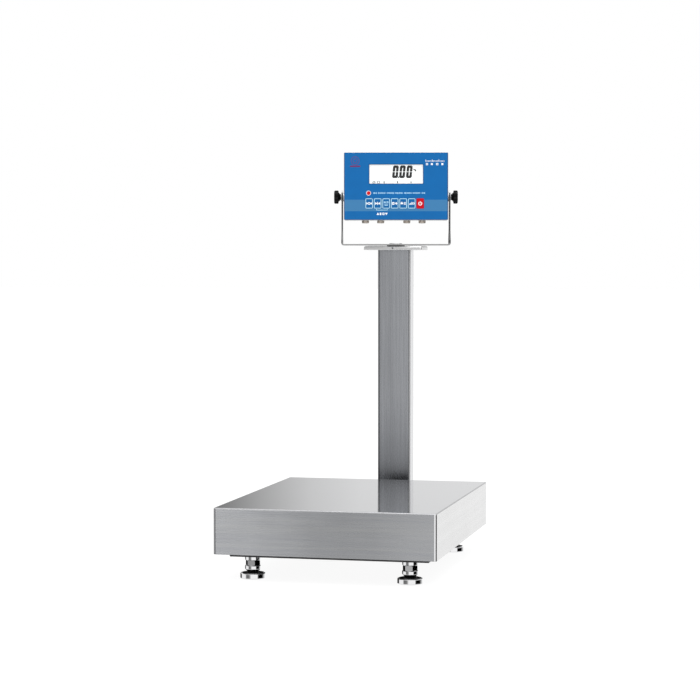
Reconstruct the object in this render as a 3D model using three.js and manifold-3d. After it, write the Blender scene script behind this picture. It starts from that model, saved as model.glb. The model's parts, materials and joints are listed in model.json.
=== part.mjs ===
// Bench scale: a folded sheet pan on a welded base with four levelling feet, a rectangular column
// behind the pan, and a weighing indicator held by two star knobs in a U bracket on the column.
// Millimetres, +Z up. The floor is z = 0, X and Y are centred on the whole object, and the user
// stands at -Y. The head is stored swivelled a little towards +X.

import * as THREE from "three";
import { mergeVertices } from "three/addons/utils/BufferGeometryUtils.js";
import Module from "manifold-3d";

const wasm = await Module();
wasm.setup();

// ---------------------------------------------------------------- driving dimensions

const GAP = 0.3; // left between neighbouring pieces

// Every y below is measured from the pan's front face, and this shift centres the whole object.
const FRONT_Y = -382.5;

const pan = { width: 450, depth: 600, height: 92.8, top: 146.9, sheet: 1.5, corner: 5, edge: 3 };
const frame = {
  bottom: 44.9, height: 29.2, wall: 2.5, length: 400, crossWidth: 50, beamWidth: 60, railWidth: 30, railX: 100,
};
const foot = { padRadius: 25.2, x: 160.5, frontY: 61.8, rearY: pan.depth - 67.6, studRadius: 7.9 };
const cell = {
  length: 150, width: 40, bottom: 79.4, top: 114.1, spacerLength: 40, hole: 12, holeOffset: 17, slot: 8,
};
const spider = {
  bottom: 119.1, top: 139.1, wall: 2, railWidth: 25, beamWidth: 56, railX: 150,
  frontY: 70, rearY: 530, crossInset: 42.5,
};
const outrigger = { x: 37.5, width: 35, seatWidth: 115, seatDepth: 85, seatThick: 6 };
const column = { width: 75, depth: 45, wall: 2, corner: 6, y: 695.5, top: 665 };
const headPlate = { width: 133, depth: 75, bottom: 659.3, top: 667.8, sheet: 2.5 };
const swivel = { shaft: 8, length: 23, disc: 15, turn: 12 }; // turn in degrees, towards +X
const bracket = {
  width: 246, depth: 90, plateTop: 672.6, sheet: 3, bend: 5, armWidth: 42, armTop: 793.6,
  armRound: 15, shoulder: 681.6, waist: 705.6, holeX: 66, holeInset: 9,
};
const box = { width: 234.5, height: 152.6, depth: 72, bottom: 726.2, wall: 1.5, corner: 3 };
const pivot = { z: 779.1, boss: 10, stud: 3, lowerHole: 21 };
const display = { width: 121.4, height: 43.5, x: 0.3, z: 829.7 };
const keys = { count: 7, width: 16.8, height: 22.8, pitch: 19.15, x: -3, z: 763.8, proud: 0.4 };
const gland = { radius: 8, length: 6.2, xs: [-69, -34.5, 24.7, 59.4] };

const frameTop = frame.bottom + frame.height;
const panBottom = pan.top - pan.height;
const cellY = pan.depth / 2;
const boltHole = 4.5; // radius of a clearance hole for the M8 bolts
const faceY = -box.depth / 2; // the indicator's front, in the head's own frame

// ---------------------------------------------------------------- materials

const brushed = new THREE.MeshStandardMaterial({ color: 0xb4b4b8, roughness: 0.38, metalness: 1 });
const polished = new THREE.MeshStandardMaterial({ color: 0xc8c8cc, roughness: 0.15, metalness: 1 });
const zinc = new THREE.MeshStandardMaterial({ color: 0x9fa3a8, roughness: 0.4, metalness: 1 });
const darkPaint = new THREE.MeshStandardMaterial({ color: 0x202022, roughness: 0.5, metalness: 0 });
const aluminium = new THREE.MeshStandardMaterial({ color: 0xc3c6ca, roughness: 0.45, metalness: 1 });
const rubber = new THREE.MeshStandardMaterial({ color: 0x1c1c1e, roughness: 0.9, metalness: 0 });
const blackPlastic = new THREE.MeshStandardMaterial({ color: 0x131315, roughness: 0.55, metalness: 0 });
const blueFilm = new THREE.MeshStandardMaterial({ color: 0x1e6db0, roughness: 0.45, metalness: 0 });
const keyFilm = new THREE.MeshStandardMaterial({ color: 0x2170ae, roughness: 0.45, metalness: 0 });
const redFilm = new THREE.MeshStandardMaterial({ color: 0xde1526, roughness: 0.45, metalness: 0 });
const clear = new THREE.MeshStandardMaterial({ color: 0xf2f6f8, roughness: 0.05, metalness: 0 });
const lcdGlass = new THREE.MeshStandardMaterial({ color: 0xe9efec, roughness: 0.3, metalness: 0 });
const boardGreen = new THREE.MeshStandardMaterial({ color: 0x1f6b3a, roughness: 0.6, metalness: 0 });
const nickel = new THREE.MeshStandardMaterial({ color: 0x8d857a, roughness: 0.35, metalness: 1 });

// ---------------------------------------------------------------- solids

// A closed three.js geometry as a manifold solid that can be joined and cut.
function solid(geometry) {
  const bare = geometry.clone();
  bare.deleteAttribute("normal");
  bare.deleteAttribute("uv");
  const merged = mergeVertices(bare, 1e-3);
  return new wasm.Manifold(
    new wasm.Mesh({
      numProp: 3,
      vertProperties: merged.attributes.position.array,
      triVerts: new Uint32Array(merged.index.array),
    }),
  );
}

function geometryOf(body) {
  const mesh = body.getMesh();
  const geometry = new THREE.BufferGeometry();
  geometry.setAttribute("position", new THREE.BufferAttribute(new Float32Array(mesh.vertProperties), 3));
  geometry.setIndex(new THREE.BufferAttribute(new Uint32Array(mesh.triVerts), 1));
  const flat = geometry.toNonIndexed();
  flat.computeVertexNormals();
  return flat;
}

// A box from its lowest corner to its highest.
function block(low, high) {
  const size = high.map((value, i) => value - low[i]);
  const geometry = new THREE.BoxGeometry(...size);
  geometry.translate(...low.map((value, i) => value + size[i] / 2));
  return solid(geometry);
}

// A round bar between two points on one axis line.
function bar(radius, from, to, sides = 12) {
  const start = new THREE.Vector3(...from);
  const run = new THREE.Vector3(...to).sub(start);
  const geometry = new THREE.CylinderGeometry(radius, radius, run.length(), sides);
  const upright = new THREE.Vector3(0, 1, 0);
  geometry.applyQuaternion(new THREE.Quaternion().setFromUnitVectors(upright, run.clone().normalize()));
  geometry.translate(...start.addScaledVector(run, 0.5).toArray());
  return solid(geometry);
}

// A profile of [radius, height] pairs turned about Z.
function turned(profile, sides = 20) {
  const geometry = new THREE.LatheGeometry(profile.map(([r, z]) => new THREE.Vector2(r, z)), sides);
  geometry.rotateX(Math.PI / 2);
  return solid(geometry);
}

// A flat outline raised from z = low to z = high.
function raised(outline, low, high, options = {}) {
  const settings = { depth: high - low, bevelEnabled: false, curveSegments: 1, ...options };
  const geometry = new THREE.ExtrudeGeometry(outline, settings);
  geometry.translate(0, 0, low);
  return solid(geometry);
}

function roundedRectangle(width, height, radius) {
  const x = width / 2;
  const y = height / 2;
  const outline = new THREE.Shape();
  outline.moveTo(-x + radius, -y);
  outline.lineTo(x - radius, -y);
  outline.absarc(x - radius, -y + radius, radius, -Math.PI / 2, 0);
  outline.lineTo(x, y - radius);
  outline.absarc(x - radius, y - radius, radius, 0, Math.PI / 2);
  outline.lineTo(-x + radius, y);
  outline.absarc(-x + radius, y - radius, radius, Math.PI / 2, Math.PI);
  outline.lineTo(-x, -y + radius);
  outline.absarc(-x + radius, -y + radius, radius, Math.PI, Math.PI * 1.5);
  return outline;
}

function polygon(radius, sides) {
  const outline = new THREE.Shape();
  for (let i = 0; i < sides; i += 1) {
    const angle = (i / sides) * 2 * Math.PI;
    outline[i === 0 ? "moveTo" : "lineTo"](radius * Math.cos(angle), radius * Math.sin(angle));
  }
  outline.closePath();
  return outline;
}

// A hexagon bar with its corners turned down at both ends, as on any nut or bolt head.
function hexagon(acrossFlats, low, high) {
  const corner = acrossFlats / Math.sqrt(3);
  const flat = acrossFlats / 2;
  const chamfer = (corner - flat) * 0.6;
  const profile = [
    [0, low], [flat, low], [corner, low + chamfer], [corner, high - chamfer], [flat, high], [0, high],
  ];
  const cone = turned(profile, 12);
  return raised(polygon(corner, 6), low, high).intersect(cone);
}

function moved(body, x, y, z = 0) {
  const geometry = geometryOf(body);
  geometry.translate(x, y, z);
  return solid(geometry);
}

// A body modelled upright with its outline in X and Z, and its height laid along +Y.
function uprighted(body) {
  const geometry = geometryOf(body);
  geometry.rotateX(Math.PI / 2);
  return solid(geometry);
}

// A body modelled along Z, laid so that its Z points along the side's X.
function sideways(body, side) {
  const geometry = geometryOf(body);
  geometry.rotateY((side * Math.PI) / 2);
  return solid(geometry);
}

function addPiece(parent, name, body, material) {
  const mesh = new THREE.Mesh(geometryOf(body), material);
  mesh.name = name;
  parent.add(mesh);
}

// ---------------------------------------------------------------- feet

const collar = { low: 15.4, shoulder: 19, high: 26.3, radius: 15.8 }; // the stud's round foot
const spanner = { high: 37, flats: 25.5 }; // the hexagon above it
const lock = { low: 37.3, radius: 15.5 }; // the round nut locked against the frame

function footPad() {
  const r = foot.padRadius;
  return turned([
    [0, 0], [r - 2, 0], [r, 2], [r, 9.4], [r - 2.4, 12], [9, 15], [8.2, 10], [0, 10],
  ]);
}

function footStud() {
  const r = foot.studRadius;
  const { low, shoulder, high, radius } = collar;
  const shaft = turned([
    [0, 10.3], [6, 10.3], [7.6, 11.6], [7.6, low], [11, low], [radius, shoulder],
    [radius, high - 1], [radius - 1, high], [r, high], [r, 65], [r - 1, 66], [0, 66],
  ]);
  return shaft.add(hexagon(spanner.flats, high - 1, spanner.high));
}

function lockNut() {
  const high = frame.bottom - GAP;
  const bore = bar(foot.studRadius + 0.5, [0, 0, lock.low - 1], [0, 0, high + 1], 20);
  return bar(lock.radius, [0, 0, lock.low], [0, 0, high], 32).subtract(bore);
}

// ---------------------------------------------------------------- base

// A tube run along X or Y as [outer, inner]: the inner one reaches past both ends, into its neighbours.
function tubeRun([x0, x1], [y0, y1], bottom, top, wall, along) {
  const outer = block([x0, y0, bottom], [x1, y1, top]);
  const past = 2 * wall;
  const [px, py] = along === "x" ? [past, -wall] : [-wall, past];
  const inner = block([x0 - px, y0 - py, bottom + wall], [x1 + px, y1 + py, top - wall]);
  return [outer, inner];
}

// Welds tube runs into one hollow frame.
function welded(runs) {
  const outer = runs.map((run) => run[0]).reduce((a, b) => a.add(b));
  const inner = runs.map((run) => run[1]).reduce((a, b) => a.add(b));
  return outer.subtract(inner);
}

const cellBoltY = [cellY + cell.length / 2 - 11, cellY + cell.length / 2 - 29];
const columnBoltX = 46;

function baseFrame() {
  const { bottom, wall, crossWidth, beamWidth, railWidth, railX, length } = frame;
  const run = (xs, ys, along) => tubeRun(xs, ys, bottom, frameTop, wall, along);
  const runs = [foot.frontY, foot.rearY].map((y) =>
    run([-length / 2, length / 2], [y - crossWidth / 2, y + crossWidth / 2], "x"));
  for (const side of [-1, 1]) {
    const railMiddle = side * railX;
    const railXs = [railMiddle - railWidth / 2, railMiddle + railWidth / 2];
    runs.push(run(railXs, [foot.frontY + 20, foot.rearY - 20], "y"));
    const armMiddle = side * outrigger.x;
    const armXs = [armMiddle - outrigger.width / 2, armMiddle + outrigger.width / 2];
    runs.push(run(armXs, [foot.rearY + 20, column.y + outrigger.seatDepth / 2], "y"));
  }
  const beamY = cellBoltY[0] - 9;
  runs.push(run([-railX, railX], [beamY - beamWidth / 2, beamY + beamWidth / 2], "x"));
  let body = welded(runs);

  // threaded bosses for the feet, and the seat that the column is bolted to
  for (const x of [-foot.x, foot.x]) {
    for (const y of [foot.frontY, foot.rearY]) {
      body = body.add(bar(13, [x, y, bottom + 1], [x, y, bottom + 20]));
      body = body.subtract(bar(foot.studRadius + 0.4, [x, y, bottom - 1], [x, y, bottom + 21]));
    }
  }
  const seatX = outrigger.seatWidth / 2;
  const [seatFront, seatRear] = [-1, 1].map((end) => column.y + (end * outrigger.seatDepth) / 2);
  const seatTop = frameTop + outrigger.seatThick;
  body = body.add(block([-seatX, seatFront, frameTop - 1], [seatX, seatRear, seatTop]));
  for (const x of [-columnBoltX, columnBoltX]) {
    body = body.subtract(bar(boltHole, [x, column.y, frameTop - 6], [x, column.y, seatTop + 1]));
  }
  // clearance and spanner holes for the load cell's bolts
  for (const y of cellBoltY) {
    body = body.subtract(bar(boltHole, [0, y, frameTop - 6], [0, y, frameTop + 1]));
    body = body.subtract(bar(8, [0, y, bottom - 1], [0, y, bottom + wall + 1]));
  }
  return body;
}

function loadCell() {
  const y0 = cellY - cell.length / 2;
  const x = cell.width / 2;
  const middle = (cell.bottom + cell.top) / 2;
  let body = block([-x, y0, cell.bottom], [x, y0 + cell.length, cell.top]);
  const [front, back] = [cellY - cell.holeOffset, cellY + cell.holeOffset];
  for (const y of [front, back]) {
    body = body.subtract(bar(cell.hole, [-x - 1, y, middle], [x + 1, y, middle], 16));
  }
  const half = cell.slot / 2;
  body = body.subtract(block([-x - 1, front, middle - half], [x + 1, back, middle + half]));
  for (const y of cellBoltY) {
    body = body.subtract(bar(4.4, [0, y, cell.bottom - 1], [0, y, cell.bottom + 15]));
    const top = 2 * cellY - y;
    body = body.subtract(bar(4.4, [0, top, cell.top - 15], [0, top, cell.top + 1]));
  }
  return body;
}

function cellSpacer(end, low, high) {
  const x = cell.width / 2;
  const far = cellY + (end * cell.length) / 2;
  const near = far - end * cell.spacerLength;
  let body = block([-x, Math.min(near, far), low], [x, Math.max(near, far), high]);
  for (const boltY of cellBoltY) {
    const y = end > 0 ? boltY : 2 * cellY - boltY;
    body = body.subtract(bar(boltHole, [0, y, low - 1], [0, y, high + 1]));
  }
  return body;
}

// A socket-head bolt along Z with its head below (direction 1) or above (direction -1) its shank.
function socketBolt(y, headFace, direction) {
  const shank = bar(4, [0, y, headFace - direction], [0, y, headFace + direction * 21]);
  const head = bar(6.5, [0, y, headFace - direction * 8], [0, y, headFace]);
  const socket = raised(polygon(3.4, 6), -4, 4);
  return head.add(shank).subtract(moved(socket, 0, y, headFace - direction * 8));
}

function topFrame() {
  const { bottom, top, wall, railWidth, beamWidth, railX, frontY, rearY, crossInset } = spider;
  const run = (xs, ys, along) => tubeRun(xs, ys, bottom, top, wall, along);
  const half = railWidth / 2;
  const runs = [-railX, railX].map((x) => run([x - half, x + half], [frontY, rearY], "y"));
  for (const y of [frontY + crossInset, rearY - crossInset]) {
    runs.push(run([-railX, railX], [y - half, y + half], "x"));
  }
  const beamY = 2 * cellY - cellBoltY[0] + 9;
  runs.push(run([-railX, railX], [beamY - beamWidth / 2, beamY + beamWidth / 2], "x"));
  let body = welded(runs);
  for (const boltY of cellBoltY) {
    const y = 2 * cellY - boltY;
    body = body.subtract(bar(boltHole, [0, y, bottom - 1], [0, y, bottom + wall + 1]));
    body = body.subtract(bar(8, [0, y, top - wall - 1], [0, y, top + 1]));
  }
  return body;
}

function panPad() {
  const low = spider.top + GAP;
  const high = pan.top - pan.sheet - GAP;
  return turned([[0, low], [12, low], [12, high - 1], [11, high], [0, high]], 16);
}

function panCover() {
  const { width, depth, corner, edge, sheet, top } = pan;
  const shell = (inset, roof) => {
    const trim = 2 * (inset + edge);
    const outline = roundedRectangle(width - trim, depth - trim, corner - inset - edge + 2);
    const options = { bevelEnabled: true, bevelThickness: edge, bevelSize: edge, bevelSegments: 2 };
    return moved(raised(outline, panBottom - 20, roof - edge, options), 0, depth / 2);
  };
  const floor = panBottom;
  const below = block([-width, -10, floor - 60], [width, depth + 10, floor]);
  let body = shell(0, top).subtract(shell(sheet, top - sheet)).subtract(below);
  // the rear skirt is notched over the outrigger
  const notch = outrigger.x + outrigger.width / 2 + 6;
  body = body.subtract(block([-notch, depth - 10, floor - 1], [notch, depth + 1, frameTop + 8]));
  return body;
}

const level = { x: 122, y: foot.rearY, low: frameTop + GAP, high: frameTop + 9 };

function levelCup() {
  const { low, high } = level;
  const profile = [[0, low], [13, low], [13, high - 1], [12, high], [10, high], [10, low + 2], [0, low + 2]];
  return turned(profile, 16);
}

function levelVial() {
  const { low, high } = level;
  return turned([[0, low + 2.3], [9.6, low + 2.3], [9.6, high - 1], [6, high], [0, high + 0.5]], 16);
}

// ---------------------------------------------------------------- column

const flange = { low: frameTop + outrigger.seatThick + GAP, thick: 6 };

function columnFlange() {
  const { low, thick } = flange;
  const outline = roundedRectangle(outrigger.seatWidth, outrigger.seatDepth, 6);
  const cableHole = bar(12, [0, 0, low - 1], [0, 0, low + thick + 1]);
  let body = raised(outline, low, low + thick).subtract(cableHole);
  for (const x of [-columnBoltX, columnBoltX]) {
    body = body.subtract(bar(boltHole, [x, 0, low - 1], [x, 0, low + thick + 1]));
  }
  return moved(body, 0, column.y);
}

function columnBolt(x) {
  const seat = flange.low + flange.thick + GAP;
  const body = bar(4, [0, 0, frameTop - 9], [0, 0, seat + 1]).add(hexagon(13, seat, seat + 5.3));
  return moved(body, x, column.y);
}

function columnTube() {
  const { width, depth, wall, corner, top } = column;
  const outline = roundedRectangle(width, depth, corner);
  outline.holes.push(roundedRectangle(width - 2 * wall, depth - 2 * wall, corner - wall));
  const tube = raised(outline, flange.low + flange.thick + GAP, top, { curveSegments: 2 });
  return moved(tube, 0, column.y);
}

// A shallow folded tray, open below, that caps the column.
function columnHeadPlate() {
  const { width, depth, bottom, top, sheet } = headPlate;
  const outside = raised(roundedRectangle(width, depth, 3), bottom, top);
  const inside = raised(roundedRectangle(width - 2 * sheet, depth - 2 * sheet, 1), bottom - 1, top - sheet);
  let body = outside.subtract(inside);
  body = body.subtract(bar(swivel.shaft + 0.5, [0, 0, bottom], [0, 0, top + 1]));
  const middle = (bottom + top) / 2;
  body = body.subtract(bar(2, [0, -depth / 2 - 1, middle], [0, -depth / 2 + sheet + 1, middle], 12));
  return moved(body, 0, column.y);
}

// ---------------------------------------------------------------- swivel

const plateBottom = bracket.plateTop - bracket.sheet;

function swivelBolt() {
  const seat = bracket.plateTop + GAP;
  const r = swivel.shaft;
  const disc = swivel.disc;
  const end = bracket.plateTop - swivel.length;
  const profile = [
    [0, end], [r, end], [r, seat], [disc, seat], [disc, seat + 1], [disc - 1, seat + 1.8], [0, seat + 1.8],
  ];
  return moved(turned(profile), 0, column.y);
}

function swivelWasher() {
  const low = headPlate.top + GAP;
  const high = plateBottom - GAP;
  return moved(turned([[8.5, low], [20, low], [20, high], [8.5, high], [8.5, low]]), 0, column.y);
}

function swivelNut() {
  const high = headPlate.top - headPlate.sheet - GAP;
  const low = high - 11;
  const bore = bar(swivel.shaft + 0.3, [0, 0, low - 1], [0, 0, high + 1]);
  return moved(hexagon(24, low, high).subtract(bore), 0, column.y);
}

// ---------------------------------------------------------------- bracket, in the head's own frame

// The arm seen from the side: as deep as the plate at its foot, drawn in to a strip with a round top.
function armOutline() {
  const { shoulder, waist, armRound: round } = bracket;
  const foot = bracket.depth / 2;
  const arm = bracket.armWidth / 2;
  const outline = new THREE.Shape();
  outline.moveTo(-foot, plateBottom - 1);
  outline.lineTo(foot, plateBottom - 1);
  outline.lineTo(foot, shoulder);
  outline.lineTo(arm, waist);
  outline.lineTo(arm, bracket.armTop - round);
  outline.absarc(arm - round, bracket.armTop - round, round, 0, Math.PI / 2);
  outline.absarc(-arm + round, bracket.armTop - round, round, Math.PI / 2, Math.PI);
  outline.lineTo(-arm, waist);
  outline.lineTo(-foot, shoulder);
  outline.closePath();
  return outline;
}

function uBracket() {
  const { width, depth, sheet, bend, armTop, plateTop, holeX, holeInset } = bracket;
  const ring = (inset, low) => {
    const outline = roundedRectangle(width - 2 * inset, 2 * (armTop + 20 - low), bend - inset);
    return moved(uprighted(raised(outline, -depth / 2 - inset, depth / 2 + inset)), 0, 0, armTop + 20);
  };
  let body = ring(0, plateBottom).subtract(ring(sheet, plateTop));
  // the side outline, laid across the whole width
  const side = geometryOf(raised(armOutline(), -width, width));
  side.rotateX(Math.PI / 2);
  side.rotateZ(Math.PI / 2);
  body = body.intersect(solid(side));

  const across = (radius, z) => bar(radius, [-width, 0, z], [width, 0, z]);
  body = body.subtract(across(pivot.stud + 0.4, pivot.z));
  body = body.subtract(across(2.4, pivot.z - pivot.lowerHole));
  body = body.subtract(bar(swivel.shaft + 0.5, [0, 0, plateBottom - 1], [0, 0, plateTop + 1]));
  const holeY = depth / 2 - holeInset;
  for (const x of [-holeX, holeX]) {
    body = body.subtract(bar(2.6, [x, holeY, plateBottom - 1], [x, holeY, plateTop + 1], 12));
  }
  return body;
}

const washer = { low: bracket.width / 2 + GAP, thick: 1.2 };
const knob = { low: washer.low + washer.thick + GAP, outer: 140, radius: 15, lobes: 6, stud: 105 };

function lobedOutline(radius, depth, lobes) {
  const outline = new THREE.Shape();
  const steps = lobes * 4;
  for (let i = 0; i < steps; i += 1) {
    const angle = (i / steps) * 2 * Math.PI;
    const r = radius - depth * (0.5 - 0.5 * Math.cos(lobes * angle));
    outline[i === 0 ? "moveTo" : "lineTo"](r * Math.cos(angle), r * Math.sin(angle));
  }
  outline.closePath();
  return outline;
}

// Pieces on the pivot axis are made along Z, outwards, then laid along the side's X.
function starKnob(side) {
  const { low, outer, radius, lobes, stud } = knob;
  const bevel = 1.2;
  const options = { bevelEnabled: true, bevelThickness: bevel, bevelSize: bevel, bevelSegments: 1 };
  const grip = raised(lobedOutline(radius - bevel, 3, lobes), low + 5 + bevel, outer - bevel, options);
  const hub = turned([[0, low], [7, low], [7, low + 1.5], [11, low + 5.5], [11, low + 8], [0, low + 8]], 12);
  const shank = bar(pivot.stud, [0, 0, stud], [0, 0, low + 1]);
  return moved(sideways(grip.add(hub).add(shank), side), 0, 0, pivot.z);
}

function knobWasher(side) {
  const { low, thick } = washer;
  const r = pivot.stud + 0.4;
  const ring = turned([[r, low], [8.5, low], [8.5, low + thick], [r, low + thick], [r, low]], 12);
  return moved(sideways(ring, side), 0, 0, pivot.z);
}

// ---------------------------------------------------------------- indicator, in the head's own frame

const film = { thick: 0.8, border: 0.6 };
const wallFront = faceY + film.thick + GAP; // outside of the steel front wall
const rear = { coverThick: 1.8, gasketThick: 1.3, lip: 8 };
const shellRear = box.depth / 2 - rear.coverThick - rear.gasketThick - 2 * GAP;
const boxMiddle = box.bottom + box.height / 2;
const keyXs = Array.from({ length: keys.count }, (_, i) => keys.x + (i - (keys.count - 1) / 2) * keys.pitch);

// A rounded plate or bar facing the user, from y = front to y = back.
function facing(width, height, corner, x, z, front, back) {
  return moved(uprighted(raised(roundedRectangle(width, height, corner), -back, -front)), x, 0, z);
}

// Opens the display window and the seven key wells through a front layer.
function withFrontOpenings(body, clearance, front, back) {
  const opening = (width, height, corner, x, z) => facing(width, height, corner, x, z, front - 1, back + 1);
  const around = 2 * clearance;
  const window = opening(display.width + around, display.height + around, 1.5, display.x, display.z);
  let cut = body.subtract(window);
  for (const x of keyXs) {
    cut = cut.subtract(opening(keys.width + 2 * GAP, keys.height + 2 * GAP, 2.2, x, keys.z));
  }
  return cut;
}

function indicatorHousing() {
  const { width, height, wall, corner } = box;
  const layer = (inset, radius, front, back) =>
    facing(width - 2 * inset, height - 2 * inset, radius, 0, boxMiddle, front, back);
  let body = layer(0, corner, wallFront, shellRear);
  body = body.subtract(layer(wall, corner - wall, wallFront + wall, shellRear - wall));
  body = body.subtract(layer(rear.lip, 2, shellRear - wall - 1, shellRear + 1));
  body = withFrontOpenings(body, -1, wallFront, wallFront + wall);
  for (const side of [-1, 1]) {
    const outer = bracket.width / 2 - bracket.sheet - GAP;
    const boss = bar(pivot.boss, [0, 0, width / 2 - 8], [0, 0, outer]);
    body = body.add(moved(sideways(boss, side), 0, 0, pivot.z));
    const bore = bar(pivot.stud + 0.4, [0, 0, width / 2 - 10], [0, 0, outer + 1]);
    body = body.subtract(moved(sideways(bore, side), 0, 0, pivot.z));
  }
  for (const x of gland.xs) {
    body = body.subtract(bar(6.4, [x, 0, box.bottom - 1], [x, 0, box.bottom + wall + 1]));
  }
  return body;
}

function keypadOverlay() {
  const { thick, border } = film;
  const back = faceY + thick;
  const sheet = facing(box.width - 2 * border, box.height - 2 * border, 2, 0, boxMiddle, faceY, back);
  return withFrontOpenings(sheet, 0, faceY, back);
}

function keyCap(x) {
  return facing(keys.width, keys.height, 2, x, keys.z, faceY - keys.proud, faceY + 5);
}

function displayLens() {
  const { width, height, x, z } = display;
  return facing(width - 2 * GAP, height - 2 * GAP, 1.3, x, z, faceY, faceY + film.thick);
}

const lcd = { front: wallFront + box.wall + GAP, thick: 5 };

function lcdModule() {
  const { width, height, x, z } = display;
  return facing(width + 6, height + 8, 1, x, z, lcd.front, lcd.front + lcd.thick);
}

const boardFront = lcd.front + lcd.thick + GAP;

function mainBoard() {
  return facing(204, 124, 2, 0, boxMiddle, boardFront, boardFront + 1.6);
}

function battery() {
  return facing(70, 96, 2, 45, boxMiddle + 5, boardFront + 6, boardFront + 46);
}

function gasketRing() {
  const front = shellRear + GAP;
  const back = front + rear.gasketThick;
  const layer = (inset, past) =>
    facing(box.width - 2 * inset, box.height - 2 * inset, 2, 0, boxMiddle, front - past, back + past);
  return layer(1.5, 0).subtract(layer(rear.lip, 1));
}

function rearCover() {
  const { width, height, depth, corner } = box;
  return facing(width, height, corner, 0, boxMiddle, depth / 2 - rear.coverThick, depth / 2);
}

function cableGland(x) {
  const high = box.bottom - GAP;
  const low = high - gland.length;
  const r = gland.radius;
  const profile = [[0, low], [r - 1.5, low], [r, low + 1.2], [r, high - 0.6], [r - 0.6, high], [0, high]];
  const thread = bar(6, [0, 0, high - 1], [0, 0, box.bottom + 9]);
  return moved(turned(profile, 12).add(thread), x, 0);
}

// ---------------------------------------------------------------- the assembly

const scale = new THREE.Group();
scale.position.y = FRONT_Y;

const footPlaces = [
  [-foot.x, foot.frontY],
  [foot.x, foot.frontY],
  [-foot.x, foot.rearY],
  [foot.x, foot.rearY],
];
footPlaces.forEach(([x, y], i) => {
  addPiece(scale, `foot_pad_${i + 1}`, moved(footPad(), x, y), polished);
  addPiece(scale, `foot_stud_${i + 1}`, moved(footStud(), x, y), polished);
  addPiece(scale, `lock_nut_${i + 1}`, moved(lockNut(), x, y), polished);
});

addPiece(scale, "base_frame", baseFrame(), darkPaint);
addPiece(scale, "load_cell", loadCell(), aluminium);
addPiece(scale, "cell_spacer_lower", cellSpacer(1, frameTop + GAP, cell.bottom - GAP), zinc);
addPiece(scale, "cell_spacer_upper", cellSpacer(-1, cell.top + GAP, spider.bottom - GAP), zinc);
cellBoltY.forEach((y, i) => {
  addPiece(scale, `cell_bolt_base_${i + 1}`, socketBolt(y, frameTop - frame.wall - GAP, 1), zinc);
  const topBolt = socketBolt(2 * cellY - y, spider.bottom + spider.wall + GAP, -1);
  addPiece(scale, `cell_bolt_top_${i + 1}`, topBolt, zinc);
});
addPiece(scale, "top_frame", topFrame(), darkPaint);
const padPlaces = [-1, 1].flatMap((side) =>
  [spider.frontY + 14, spider.rearY - 14].map((y) => [side * spider.railX, y]));
padPlaces.forEach(([x, y], i) => {
  addPiece(scale, `pan_pad_${i + 1}`, moved(panPad(), x, y), rubber);
});
addPiece(scale, "level_cup", moved(levelCup(), level.x, level.y), blackPlastic);
addPiece(scale, "level_vial", moved(levelVial(), level.x, level.y), clear);
addPiece(scale, "pan", panCover(), brushed);

addPiece(scale, "column_base_flange", columnFlange(), brushed);
[-columnBoltX, columnBoltX].forEach((x, i) => {
  addPiece(scale, `column_bolt_${i + 1}`, columnBolt(x), zinc);
});
addPiece(scale, "column", columnTube(), brushed);
addPiece(scale, "head_plate", columnHeadPlate(), brushed);
addPiece(scale, "swivel_bolt", swivelBolt(), brushed);
addPiece(scale, "swivel_washer", swivelWasher(), blackPlastic);
addPiece(scale, "swivel_nut", swivelNut(), zinc);

const head = new THREE.Group();
head.position.y = column.y;
head.rotation.z = THREE.MathUtils.degToRad(swivel.turn);
scale.add(head);

addPiece(head, "bracket", uBracket(), brushed);
for (const [word, side] of [["left", -1], ["right", 1]]) {
  addPiece(head, `knob_${word}`, starKnob(side), blackPlastic);
  addPiece(head, `knob_washer_${word}`, knobWasher(side), zinc);
}
addPiece(head, "indicator_housing", indicatorHousing(), brushed);
addPiece(head, "keypad_overlay", keypadOverlay(), blueFilm);
keyXs.forEach((x, i) => {
  addPiece(head, `key_${i + 1}`, keyCap(x), i === keys.count - 1 ? redFilm : keyFilm);
});
addPiece(head, "display_lens", displayLens(), clear);
addPiece(head, "lcd_module", lcdModule(), lcdGlass);
addPiece(head, "main_board", mainBoard(), boardGreen);
addPiece(head, "battery", battery(), blackPlastic);
addPiece(head, "gasket", gasketRing(), rubber);
addPiece(head, "rear_cover", rearCover(), brushed);
gland.xs.forEach((x, i) => {
  addPiece(head, `cable_gland_${i + 1}`, cableGland(x), nickel);
});

export default scale;
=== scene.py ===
"""The bench scale's visual model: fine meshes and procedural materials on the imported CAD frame.

Everything is in metres, in the row's own frame: the floor is z = 0, the user stands at -Y, and the
head (bracket and indicator) is stored swivelled towards +X. Pieces of the head are made facing -Y
about the column's axis and then turned by the head's own matrix.
"""
import json
import math

import bmesh
import bpy
from mathutils import Matrix, Vector

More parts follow.
